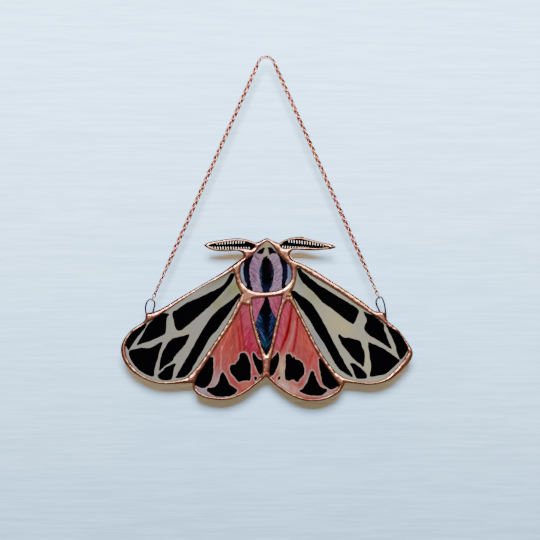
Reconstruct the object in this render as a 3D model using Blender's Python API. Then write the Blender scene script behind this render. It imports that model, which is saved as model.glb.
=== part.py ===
"""A hanging stained glass tiger moth: eight pieces of glass held in one copper-coloured net of
solder, two wire loops on the wings and a fine chain that carries the panel from a nail.

The panel stands in the XZ plane with its face towards -Y. The origin is the point of the nail
that the chain lies on. Outlines are points of the paper pattern: x to the right and y downwards,
in pattern units, PATTERN_SPAN of them across the wings.
"""

import math

import bmesh
import bpy
import numpy as np

WINGSPAN = 0.180
PATTERN_SPAN = 292.4
UNIT = WINGSPAN / PATTERN_SPAN
PATTERN_CENTRE = (266.2, 58.6)

GLASS_THICKNESS = 0.0030
SOLDER_THICKNESS = 0.0050
SOLDER_ROUNDING = 0.0004
LIP = 0.0004
GAP = 0.0003
MITRE_LIMIT = 2.0
TURN_STEP = math.radians(15)
WELD_DISTANCE = 0.000001

LOOP_WIRE = 0.0008
LINK_WIRE = 0.0006
LINK_STRAIGHT = 0.0010
LINK_SLACK = 0.00005
LINK_STEP_DEG = 30
CHAIN_WIDTH = 0.0025
CHAIN_WAIST = 0.0015
CHAIN_STANDOFF = 0.0006
LINK_PITCH = 0.0023
NAIL_BEND = 0.0050
BEND_POINTS = 9
TUBE_SIDES_SETTING = 1

METAL_ROUGHNESS = 0.25
GLASS_ROUGHNESS = 0.15
SOLDER_COLOUR = (0.55, 0.30, 0.20)
CHAIN_COLOUR = (0.72, 0.42, 0.32)
WIRE_COLOUR = (0.28, 0.15, 0.15)
GLASS_COLOURS = {
    "left_forewing_glass": (0.38, 0.37, 0.31),
    "right_forewing_glass": (0.42, 0.40, 0.34),
    "left_hindwing_glass": (0.60, 0.12, 0.13),
    "right_hindwing_glass": (0.62, 0.14, 0.13),
    "thorax_glass": (0.12, 0.10, 0.14),
    "abdomen_glass": (0.10, 0.06, 0.12),
    "left_antenna_glass": (0.03, 0.03, 0.03),
    "right_antenna_glass": (0.03, 0.03, 0.03),
}

# Where each end of the chain hooks its wire loop, on the pattern: the panel swings about this line.
LEFT_HOOK = (152.3, 299.6)
RIGHT_HOOK = (378.9, 297.3)

# Each outline is a list of runs. A run is smooth, and neighbouring runs meet in a corner.
SILHOUETTE = [
    [(267.3, 237.6), (271, 239.2), (275, 241.3), (279.5, 242.6)],
    [(279.5, 242.6), (283.5, 240.2), (289, 238), (295, 236.8), (302, 236.4), (311, 239.1),
     (323, 242.3), (332, 244.2), (336, 246.9), (333, 248.9), (323, 250.1), (312, 250.8),
     (299, 250.1), (293.5, 250.3), (290.6, 252.4), (290.3, 255.5), (292.6, 258.8)],
    [(292.6, 258.8), (311, 267.6), (326, 276.8), (354, 295), (366, 303.6), (373, 309.6),
     (376.8, 311), (381.5, 311), (384.8, 312.6), (386, 316.5), (388.2, 320.6), (394, 325.3),
     (400, 331.2), (411, 347), (413, 352.5), (411.7, 358.5), (406.5, 365.3), (397.7, 374),
     (389.5, 380.2), (379.5, 383.6), (368, 384.9), (356, 383.6), (345.4, 382.6)],
    [(345.4, 382.6), (343, 387), (340, 391.6), (334, 395.8), (326, 399.4), (315, 401.4),
     (304, 400.5), (291, 395.8), (279, 388), (266.2, 376.8)],
    [(266.2, 376.8), (255.8, 385), (245, 393), (233.5, 398.2), (222, 400.1), (208, 398.6),
     (198.3, 394.9), (193.2, 389.3), (192.2, 383)],
    [(192.2, 383), (180, 383.6), (168, 384.3), (155, 383), (143, 378.3), (132, 371.3),
     (124.5, 362.5), (121, 353), (121.4, 344.5), (126, 335.5), (133.5, 327.8), (141, 323.1),
     (144.8, 319.3), (145.2, 315.5), (146.8, 313), (151, 312.2), (155.5, 311), (162, 308.2),
     (178, 298.3), (222, 272.3), (233, 264.3), (243.2, 257.2)],
    [(243.2, 257.2), (242.9, 254.3), (240.5, 252), (236, 251), (226, 251.6), (214.5, 250.9),
     (208, 248.7), (203.3, 245.2)],
    [(203.3, 245.2), (208, 242.3), (216, 240.5), (228, 238.7), (238, 237.9), (246, 238.9),
     (251, 240.4), (255.8, 242.3)],
    [(255.8, 242.3), (260, 240.9), (263.8, 238.9), (267.3, 237.6)],
]

WINDOWS = {
    "left_forewing_glass": [
        [(233, 271.2), (220, 278.2), (203, 286.8), (180, 301.8), (160, 315.5), (140, 327.3),
         (130, 335.5), (126, 345), (126.6, 355), (131.6, 364.8), (140.4, 373.4), (152.3, 379.6),
         (165, 381.6), (178.6, 380), (187, 377.4)],
        [(187, 377.4), (195.5, 368.6), (216, 340), (230, 317.7), (241.2, 294)],
        [(241.2, 294), (239.3, 290), (236.3, 283.5), (234.8, 276.5), (233, 271.2)],
    ],
    "right_forewing_glass": [
        [(298.3, 266.9), (307, 273), (322, 282), (340, 293.2), (357.7, 305.6), (376.8, 317.8),
         (388, 326.3), (399.5, 334), (405.9, 344.5), (407.6, 351), (404.5, 358), (394, 370.5),
         (383.2, 379.3), (370, 382.2), (357, 381), (345, 378)],
        [(345, 378), (334, 370), (320, 350), (304, 320), (294.7, 300), (291.5, 292.8)],
        [(291.5, 292.8), (294.8, 285), (296.7, 276), (296.8, 270.5), (298.3, 266.9)],
    ],
    "left_hindwing_glass": [
        [(242.6, 304.8), (234.5, 320), (221, 340), (208.6, 359.8), (198.6, 375), (194.8, 383)],
        [(194.8, 383), (195.8, 387.6), (201.4, 393), (210, 396.2), (223.5, 397.5), (236.6, 394.6),
         (247.8, 387.8), (257.6, 379.8), (261.4, 376.2)],
        [(261.4, 376.2), (262.4, 368), (261.2, 357), (255.8, 340), (250.6, 320), (249.2, 306)],
        [(249.2, 306), (242.6, 304.8)],
    ],
    "right_hindwing_glass": [
        [(287.4, 301), (291, 304), (294.7, 310), (305, 330), (315, 350), (328.2, 370),
         (335, 379.6), (339.4, 385)],
        [(339.4, 385), (337, 389.4), (331, 394), (325, 396.8), (314, 398.9), (303.5, 397.8),
         (291.5, 392.9), (279.5, 384.9), (270.6, 376.4)],
        [(270.6, 376.4), (270, 371), (271.3, 360), (273.8, 350), (278.3, 330), (283, 310),
         (287.4, 301)],
    ],
    "thorax_glass": [
        [(267.3, 241), (272, 245.2), (277, 252.3), (284, 260.3), (289.3, 266), (291.2, 273),
         (290.6, 280), (287, 285), (280, 289.5), (270, 291.8), (260, 291.9), (251.5, 290),
         (245.5, 285.7), (242, 280.5), (240.6, 273), (242.2, 264.5), (247, 259.5),
         (252.5, 255.5), (257.5, 250), (262, 244.8), (267.3, 241)],
    ],
    "abdomen_glass": [
        [(252.2, 299.2), (259, 298.2), (267, 297.4), (275, 296.4), (281.6, 295.6)],
        [(281.6, 295.6), (280.8, 301), (278.3, 310), (273.5, 330), (269.9, 347), (266.3, 354.6)],
        [(266.3, 354.6), (262.9, 348), (257.3, 330), (253.6, 316), (252.2, 299.2)],
    ],
    "left_antenna_glass": [
        [(209, 245.4), (214.5, 244), (225, 242), (238, 240.9), (247, 242), (254.6, 244.6)],
        [(254.6, 244.6), (254.4, 247), (252, 249)],
        [(252, 249), (244, 248.2), (237, 249), (224, 249.4), (214, 248.2), (209, 245.4)],
    ],
    "right_antenna_glass": [
        [(280.3, 245), (285, 241.6), (291.5, 239.7), (301, 239.6), (311, 241.8), (320, 244),
         (328.3, 247.2)],
        [(328.3, 247.2), (318, 247.9), (307, 247.3), (299, 247.4), (289, 248.2), (283.5, 248),
         (280.3, 245)],
    ],
}

LEFT_LOOP = [(147, 316.8), (145.9, 312.5), (145.6, 307.5), (146.6, 303), (148.5, 300.3),
             (150.6, 299.2), LEFT_HOOK, (154.3, 301.6), (154.7, 304.5), (154, 308), (153.2, 312),
             (153.2, 315.6)]
RIGHT_LOOP = [(380.6, 314.8), (379.2, 310.6), (377.4, 306.8), (376.2, 303), (376.6, 299.6),
              RIGHT_HOOK, (380.6, 296.9), (382.3, 298.4), (383.6, 301.6), (384.7, 305.9),
              (385.3, 310), (385.7, 314), (386.1, 318.2)]


def clear_scene():
    for obj in list(bpy.data.objects):
        bpy.data.objects.remove(obj, do_unlink=True)


def new_collection(name):
    collection = bpy.data.collections.new(name)
    bpy.context.scene.collection.children.link(collection)
    return collection


def material(name, colour, roughness, metallic=0.0):
    mat = bpy.data.materials.new(name)
    mat.use_nodes = True
    shader = mat.node_tree.nodes["Principled BSDF"]
    shader.inputs["Base Color"].default_value = (*colour, 1.0)
    shader.inputs["Roughness"].default_value = roughness
    shader.inputs["Metallic"].default_value = metallic
    return mat


def on_panel(point):
    """A pattern point in metres: x to the right and z upwards from the nail."""
    return np.array([point[0] - PATTERN_CENTRE[0], PATTERN_CENTRE[1] - point[1]]) * UNIT


def turn_between(first, second):
    cross = first[0] * second[1] - first[1] * second[0]
    return abs(math.atan2(cross, float(np.dot(first, second))))


def smooth_run(points):
    """A cubic through every point, its tangents parallel to the neighbours' chord, in metres.

    The number of steps between two points follows how far the curve turns there.
    """
    points = [on_panel(point) for point in points]
    padded = [2 * points[0] - points[1], *points, 2 * points[-1] - points[-2]]
    curve = [points[0]]
    for before, start, end, after in zip(padded, padded[1:], padded[2:], padded[3:]):
        chord = np.linalg.norm(end - start)
        leave, arrive = end - before, after - start
        steps = max(1, math.ceil(turn_between(leave, arrive) / TURN_STEP))
        leave = leave / np.linalg.norm(leave) * chord
        arrive = arrive / np.linalg.norm(arrive) * chord
        for step in range(1, steps + 1):
            t = step / steps
            curve.append(
                (2 * t**3 - 3 * t**2 + 1) * start
                + (t**3 - 2 * t**2 + t) * leave
                + (3 * t**2 - 2 * t**3) * end
                + (t**3 - t**2) * arrive
            )
    return curve


def outline(runs):
    """The closed outline of all the runs, without its repeated points."""
    return np.array([point for run in runs for point in smooth_run(run)[:-1]])


def grown(points, distance):
    """The outline moved outwards by the distance, with its sharp corners kept short."""
    area = np.sum(points[:, 0] * np.roll(points[:, 1], -1) - np.roll(points[:, 0], -1) * points[:, 1])
    ahead = np.roll(points, -1, axis=0) - points
    ahead /= np.linalg.norm(ahead, axis=1)[:, None]
    out_after = np.stack([ahead[:, 1], -ahead[:, 0]], axis=1) * math.copysign(1, area)
    out_before = np.roll(out_after, 1, axis=0)
    both = out_before + out_after
    half_cosine = np.linalg.norm(both, axis=1) / 2
    direction = both / np.linalg.norm(both, axis=1)[:, None]
    mitre = np.minimum(1 / half_cosine, MITRE_LIMIT)
    return points + direction * (mitre * distance)[:, None]


def flat_piece(name, loops, thickness, collection, rounding=0.0):
    """A plate in the XZ plane: the first loop is its edge, and the others are holes."""
    data = bpy.data.curves.new(name, "CURVE")
    data.dimensions = "2D"
    data.fill_mode = "BOTH"
    data.extrude = thickness / 2 - rounding
    data.bevel_depth = rounding
    data.bevel_resolution = 0
    data.offset = -rounding
    for loop in loops:
        spline = data.splines.new("POLY")
        spline.points.add(len(loop) - 1)
        for point, (x, z) in zip(spline.points, loop):
            point.co = (x, z, 0, 1)
        spline.use_cyclic_u = True
    obj = bpy.data.objects.new(name, data)
    obj.rotation_euler = (math.radians(90), 0, 0)
    collection.objects.link(obj)
    return obj


def tube(name, points, diameter, collection, closed=False, widths=None):
    """A round wire through 3D points; widths, if given, are its diameters at the points."""
    data = bpy.data.curves.new(name, "CURVE")
    data.dimensions = "3D"
    data.bevel_depth = diameter / 2
    data.bevel_resolution = TUBE_SIDES_SETTING
    data.render_resolution_u = 0
    data.use_fill_caps = not closed
    spline = data.splines.new("POLY")
    spline.points.add(len(points) - 1)
    for i, (x, y, z) in enumerate(points):
        spline.points[i].co = (x, y, z, 1)
        spline.points[i].radius = 1.0 if widths is None else widths[i] / diameter
    spline.use_cyclic_u = closed
    obj = bpy.data.objects.new(name, data)
    collection.objects.link(obj)
    return obj


def as_mesh(obj, collection):
    """The curve object remade as a mesh object with its caps welded on."""
    bpy.context.view_layer.update()
    evaluated = obj.evaluated_get(bpy.context.evaluated_depsgraph_get())
    data = bpy.data.meshes.new_from_object(evaluated)
    name, matrix = obj.name, obj.matrix_world.copy()
    bpy.data.objects.remove(obj, do_unlink=True)
    mesh = bmesh.new()
    mesh.from_mesh(data)
    bmesh.ops.remove_doubles(mesh, verts=mesh.verts, dist=WELD_DISTANCE)
    bmesh.ops.recalc_face_normals(mesh, faces=mesh.faces)
    mesh.to_mesh(data)
    mesh.free()
    remade = bpy.data.objects.new(name, data)
    remade.matrix_world = matrix
    collection.objects.link(remade)
    return remade


def standing(points):
    """Panel points put in space, in the plane Y = 0."""
    return [(x, 0.0, z) for x, z in points]


def loop_centre_line(points, extra=0.0):
    """The wire loop's centre line, each leg made longer by extra at its soldered end."""
    line = smooth_run(points)
    first, last = line[0] - line[1], line[-1] - line[-2]
    start = line[0] + first / np.linalg.norm(first) * extra
    end = line[-1] + last / np.linalg.norm(last) * extra
    return standing([start, *line[1:-1], end])


def chain_leg_direction(hook):
    """The unit vector from a hook point to where its leg of the chain meets the bend at the nail."""
    centre = np.array([0.0, CHAIN_WIDTH / 2 - NAIL_BEND])
    to_centre = centre - on_panel(hook)
    reach = np.linalg.norm(to_centre)
    lean = math.asin(NAIL_BEND / reach)
    side = -math.copysign(1, to_centre[0])
    cosine, sine = math.cos(lean), math.sin(lean) * -side
    return np.array([
        cosine * to_centre[0] - sine * to_centre[1],
        sine * to_centre[0] + cosine * to_centre[1],
    ]) / reach


def end_link(name, hook, collection):
    """The chain's last link: an oval across the panel, round the wire of the loop it hooks."""
    radius = LOOP_WIRE / 2 + GAP + LINK_WIRE / 2 + LINK_SLACK
    along = chain_leg_direction(hook)
    near = on_panel(hook)
    points = []
    for centre, first in ((near + along * LINK_STRAIGHT, 0), (near, 180)):
        for degrees in range(first, first + 180 + LINK_STEP_DEG, LINK_STEP_DEG):
            angle = math.radians(degrees)
            x, z = centre + along * radius * math.sin(angle)
            points.append((x, radius * math.cos(angle), z))
    return tube(name, points, LINK_WIRE, collection, closed=True)


def chain_route():
    """Points a link apart: up the left leg, round the bend at the nail and down the right leg."""
    clearance = LINK_STRAIGHT + LOOP_WIRE / 2 + GAP + LINK_WIRE + CHAIN_STANDOFF
    left, right = chain_leg_direction(LEFT_HOOK), chain_leg_direction(RIGHT_HOOK)
    start = on_panel(LEFT_HOOK) + left * clearance
    end = on_panel(RIGHT_HOOK) + right * clearance
    centre = np.array([0.0, CHAIN_WIDTH / 2 - NAIL_BEND])
    left_angle = math.atan2(left[0], -left[1])
    right_angle = math.atan2(right[0], -right[1])
    bend = [
        centre + NAIL_BEND * np.array([math.cos(a), math.sin(a)])
        for a in np.linspace(left_angle, right_angle + math.pi, BEND_POINTS)
    ]
    corners = np.array([start, *bend, end])
    reach = np.concatenate([[0], np.cumsum(np.linalg.norm(np.diff(corners, axis=0), axis=1))])
    links = round(reach[-1] / LINK_PITCH / 2) * 2
    stations = np.linspace(0, reach[-1], links + 1)
    return np.stack([np.interp(stations, reach, corners[:, i]) for i in range(2)], axis=1)


def hanging_chain(collection):
    """One tube that swells at each link seen flat and narrows at each link seen on edge."""
    route = chain_route()
    widths = [CHAIN_WAIST if i % 2 else CHAIN_WIDTH for i in range(len(route))]
    return tube("hanging_chain", standing(route), CHAIN_WIDTH, collection, widths=widths)


def solder_frame(parts, cutters):
    """The net of solder: a rounded plate with a window, a pocket for each glass, and sockets."""
    windows = [outline(runs) for runs in WINDOWS.values()]
    plate = flat_piece("solder_frame", [outline(SILHOUETTE), *windows], SOLDER_THICKNESS, parts,
                       SOLDER_ROUNDING)
    frame = as_mesh(plate, parts)
    for name, window in zip(WINDOWS, windows):
        pocket = flat_piece(name + "_pocket", [grown(window, LIP + GAP)],
                            GLASS_THICKNESS + 2 * GAP, cutters)
        as_mesh(pocket, cutters)
    for name, points in (("left_sockets", LEFT_LOOP), ("right_sockets", RIGHT_LOOP)):
        sockets = tube(name, loop_centre_line(points, GAP), LOOP_WIRE + 2 * GAP, cutters)
        as_mesh(sockets, cutters)
    for cutter in cutters.objects:
        cutter.hide_render = True
        cutter.display_type = "WIRE"
    cut = frame.modifiers.new("pockets_and_sockets", "BOOLEAN")
    cut.operation = "DIFFERENCE"
    cut.solver = "EXACT"
    cut.operand_type = "COLLECTION"
    cut.collection = cutters
    return frame


def build():
    clear_scene()
    parts = new_collection("stained_glass_moth")
    cutters = new_collection("cutters")
    solder = material("copper_solder", SOLDER_COLOUR, METAL_ROUGHNESS, 1.0)
    rose_gold = material("rose_gold_chain", CHAIN_COLOUR, METAL_ROUGHNESS, 1.0)
    dark_wire = material("dark_copper_wire", WIRE_COLOUR, METAL_ROUGHNESS, 1.0)
    solder_frame(parts, cutters).data.materials.append(solder)
    for name, runs in WINDOWS.items():
        glass = flat_piece(name, [grown(outline(runs), LIP)], GLASS_THICKNESS, parts)
        glass.data.materials.append(material(name, GLASS_COLOURS[name], GLASS_ROUGHNESS))
    for side, points in (("left", LEFT_LOOP), ("right", RIGHT_LOOP)):
        wire = tube(f"{side}_hanging_loop", loop_centre_line(points), LOOP_WIRE, parts)
        wire.data.materials.append(dark_wire)
    for side, hook in (("left", LEFT_HOOK), ("right", RIGHT_HOOK)):
        end_link(f"{side}_end_link", hook, parts).data.materials.append(rose_gold)
    hanging_chain(parts).data.materials.append(rose_gold)


build()
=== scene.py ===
"""Looks of a hanging stained glass tiger moth.

Eight panes of painted glass sit in one net of copper-coloured solder. Two wire loops stand on the
wings, and a fine chain hooks them and lies over a nail at the origin. Everything is in metres, in
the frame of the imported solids: the panel stands in the XZ plane with its face towards -Y.
Outlines are points of the paper pattern, x to the right and y downwards, in pattern units.
"""

import logging
import math
from dataclasses import dataclass, field
from enum import Enum
from typing import ClassVar

import bpy
import numpy as np
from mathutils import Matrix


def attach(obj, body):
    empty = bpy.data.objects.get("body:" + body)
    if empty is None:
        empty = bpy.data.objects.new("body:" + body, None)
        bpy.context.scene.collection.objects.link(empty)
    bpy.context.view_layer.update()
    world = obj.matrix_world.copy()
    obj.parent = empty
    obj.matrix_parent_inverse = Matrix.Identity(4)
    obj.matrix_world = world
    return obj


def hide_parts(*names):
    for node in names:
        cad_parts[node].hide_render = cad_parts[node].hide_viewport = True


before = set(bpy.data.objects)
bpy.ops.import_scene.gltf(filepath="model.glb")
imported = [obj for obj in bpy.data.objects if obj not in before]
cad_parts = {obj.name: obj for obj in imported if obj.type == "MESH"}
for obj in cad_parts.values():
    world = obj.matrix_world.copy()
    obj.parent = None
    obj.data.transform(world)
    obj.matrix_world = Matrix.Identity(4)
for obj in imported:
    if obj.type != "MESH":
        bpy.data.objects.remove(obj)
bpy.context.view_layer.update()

LOG = logging.getLogger("tiger_moth")

Point = tuple[float, float]
Runs = list[list[Point]]
Colour = tuple[float, float, float]

MM = 0.001

# The light that falls on the panel, channel by channel, and the picture's tone scale for paint().
PANEL_LIGHT = np.array([3.51, 4.48, 5.95])
TONE_BEFORE = np.array([[0.7304, 0.1974, 0.0722],
                       [0.0754, 0.8878, 0.0369],
                       [0.0598, 0.1511, 0.7891]])
TONE_CURVE = (-3.6515, 0.5823, 9.1739, -12.6672, 8.0741, 1.5818)
TONE_AFTER = np.array([[1.4762, -0.3941, -0.0822],
                      [-0.1559, 1.3397, -0.1838],
                      [-0.0855, -0.2058, 1.2913]])

# The wings' width in metres and in pattern units, and the pattern point that lies at the nail.
WINGSPAN = 0.180
PATTERN_SPAN = 292.4
UNIT = WINGSPAN / PATTERN_SPAN
PATTERN_CENTRE = np.array([266.2, 58.6])

# Half the thickness of the glass and of the solder, and the sizes of the wires and links.
GLASS_HALF = 1.5 * MM
SOLDER_HALF = 2.5 * MM
LOOP_WIRE = 1.15 * MM
LINK_WIRE = 0.6 * MM
LINK_STRAIGHT = 1.0 * MM
LINK_WIDTH = 2.5 * MM
VISIBLE_LINK_WIDTH = 3.5 * MM
APEX_DROP = 0.3 * MM
END_LINK_RADIUS = 1.15 * MM
CHAIN_CLEARANCE = 2.9 * MM
LINK_PITCH = 2.3 * MM
NAIL_BEND = 5.0 * MM

# The pattern points where the end links hook the wire loops.
LEFT_HOOK = (152.3, 299.6)
RIGHT_HOOK = (378.9, 297.3)

# Each outline is a list of runs. A run is smooth, and it starts in a corner, where the run before
# it ends.
SILHOUETTE: Runs = [
    [(271, 239.2), (275, 241.3), (279.5, 242.6)],
    [(283.5, 240.2), (289, 238), (295, 236.8), (302, 236.4), (311, 239.1), (323, 242.3),
     (332, 244.2), (336, 246.9), (333, 248.9), (323, 250.1), (312, 250.8), (299, 250.1),
     (293.5, 250.3), (290.6, 252.4), (290.3, 255.5), (292.6, 258.8)],
    [(311, 267.6), (326, 276.8), (354, 295), (366, 303.6), (373, 309.6), (376.8, 311), (381.5, 311),
     (384.8, 312.6), (386, 316.5), (388.2, 320.6), (394, 325.3), (400, 331.2), (411, 347),
     (413, 352.5), (411.7, 358.5), (406.5, 365.3), (397.7, 374), (389.5, 380.2), (379.5, 383.6),
     (368, 384.9), (356, 383.6), (345.4, 382.6)],
    [(343, 387), (340, 391.6), (334, 395.8), (326, 399.4), (315, 401.4), (304, 400.5), (291, 395.8),
     (279, 388), (266.2, 376.8)],
    [(255.8, 385), (245, 393), (233.5, 398.2), (222, 400.1), (208, 398.6), (198.3, 394.9),
     (193.2, 389.3), (192.2, 383)],
    [(180, 383.6), (168, 384.3), (155, 383), (143, 378.3), (132, 371.3), (124.5, 362.5), (121, 353),
     (121.4, 344.5), (126, 335.5), (133.5, 327.8), (141, 323.1), (144.8, 319.3), (145.2, 315.5),
     (146.8, 313), (151, 312.2), (155.5, 311), (162, 308.2), (178, 298.3), (222, 272.3),
     (233, 264.3), (243.2, 257.2)],
    [(242.9, 254.3), (240.5, 252), (236, 251), (226, 251.6), (214.5, 250.9), (208, 248.7),
     (203.3, 245.2)],
    [(208, 242.3), (216, 240.5), (228, 238.7), (238, 237.9), (246, 238.9), (251, 240.4),
     (255.8, 242.3)],
    [(260, 240.9), (263.8, 238.9), (267.3, 237.6)],
]

# The opening in the solder for each pane.
WINDOWS: dict[str, Runs] = {"left_forewing": [
    [(220, 278.2), (203, 286.8), (180, 301.8), (160, 315.5), (140, 327.3), (130, 335.5), (126, 345),
     (126.6, 355), (131.6, 364.8), (140.4, 373.4), (152.3, 379.6), (165, 381.6), (178.6, 380),
     (187, 377.4)],
    [(195.5, 368.6), (216, 340), (230, 317.7), (241.2, 294)],
    [(239.3, 290), (236.3, 283.5), (234.8, 276.5), (233, 271.2)],
], "right_forewing": [
    [(307, 273), (322, 282), (340, 293.2), (357.7, 305.6), (376.8, 317.8), (388, 326.3),
     (399.5, 334), (405.9, 344.5), (407.6, 351), (404.5, 358), (394, 370.5), (383.2, 379.3),
     (370, 382.2), (357, 381), (345, 378)],
    [(334, 370), (320, 350), (304, 320), (294.7, 300), (291.5, 292.8)],
    [(294.8, 285), (296.7, 276), (296.8, 270.5), (298.3, 266.9)],
], "left_hindwing": [
    [(234.5, 320), (221, 340), (208.6, 359.8), (198.6, 375), (194.8, 383)],
    [(195.8, 387.6), (201.4, 393), (210, 396.2), (223.5, 397.5), (236.6, 394.6), (247.8, 387.8),
     (257.6, 379.8), (261.4, 376.2)],
    [(262.4, 368), (261.2, 357), (255.8, 340), (250.6, 320), (249.2, 306)],
    [(242.6, 304.8)],
], "right_hindwing": [
    [(291, 304), (294.7, 310), (305, 330), (315, 350), (328.2, 370), (335, 379.6), (339.4, 385)],
    [(337, 389.4), (331, 394), (325, 396.8), (314, 398.9), (303.5, 397.8), (291.5, 392.9),
     (279.5, 384.9), (270.6, 376.4)],
    [(270, 371), (271.3, 360), (273.8, 350), (278.3, 330), (283, 310), (287.4, 301)],
], "thorax": [
    [(272, 245.2), (277, 252.3), (284, 260.3), (289.3, 266), (291.2, 273), (290.6, 280), (287, 285),
     (280, 289.5), (270, 291.8), (260, 291.9), (251.5, 290), (245.5, 285.7), (242, 280.5),
     (240.6, 273), (242.2, 264.5), (247, 259.5), (252.5, 255.5), (257.5, 250), (262, 244.8),
     (267.3, 241)],
], "abdomen": [
    [(259, 298.2), (267, 297.4), (275, 296.4), (281.6, 295.6)],
    [(280.8, 301), (278.3, 310), (273.5, 330), (269.9, 347), (266.3, 354.6)],
    [(262.9, 348), (257.3, 330), (253.6, 316), (252.2, 299.2)],
], "left_antenna": [
    [(214.5, 244), (225, 242), (238, 240.9), (247, 242), (254.6, 244.6)],
    [(254.4, 247), (252, 249)],
    [(244, 248.2), (237, 249), (224, 249.4), (214, 248.2), (209, 245.4)],
], "right_antenna": [
    [(285, 241.6), (291.5, 239.7), (301, 239.6), (311, 241.8), (320, 244), (328.3, 247.2)],
    [(318, 247.9), (307, 247.3), (299, 247.4), (289, 248.2), (283.5, 248), (280.3, 245)],
]}

# The centre lines of the wire loops.
LEFT_LOOP = [(147, 316.8), (145.9, 312.5), (145.6, 307.5), (146.6, 303), (148.5, 300.3),
             (150.6, 299.2), LEFT_HOOK, (154.3, 301.6), (154.7, 304.5), (154, 308), (153.2, 312),
             (153.2, 315.6)]
RIGHT_LOOP = [(380.6, 314.8), (379.2, 310.6), (377.4, 306.8), (376.2, 303), (376.6, 299.6),
              RIGHT_HOOK, (380.6, 296.9), (382.3, 298.4), (383.6, 301.6), (384.7, 305.9),
              (385.3, 310), (385.7, 314), (386.1, 318.2)]

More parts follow.
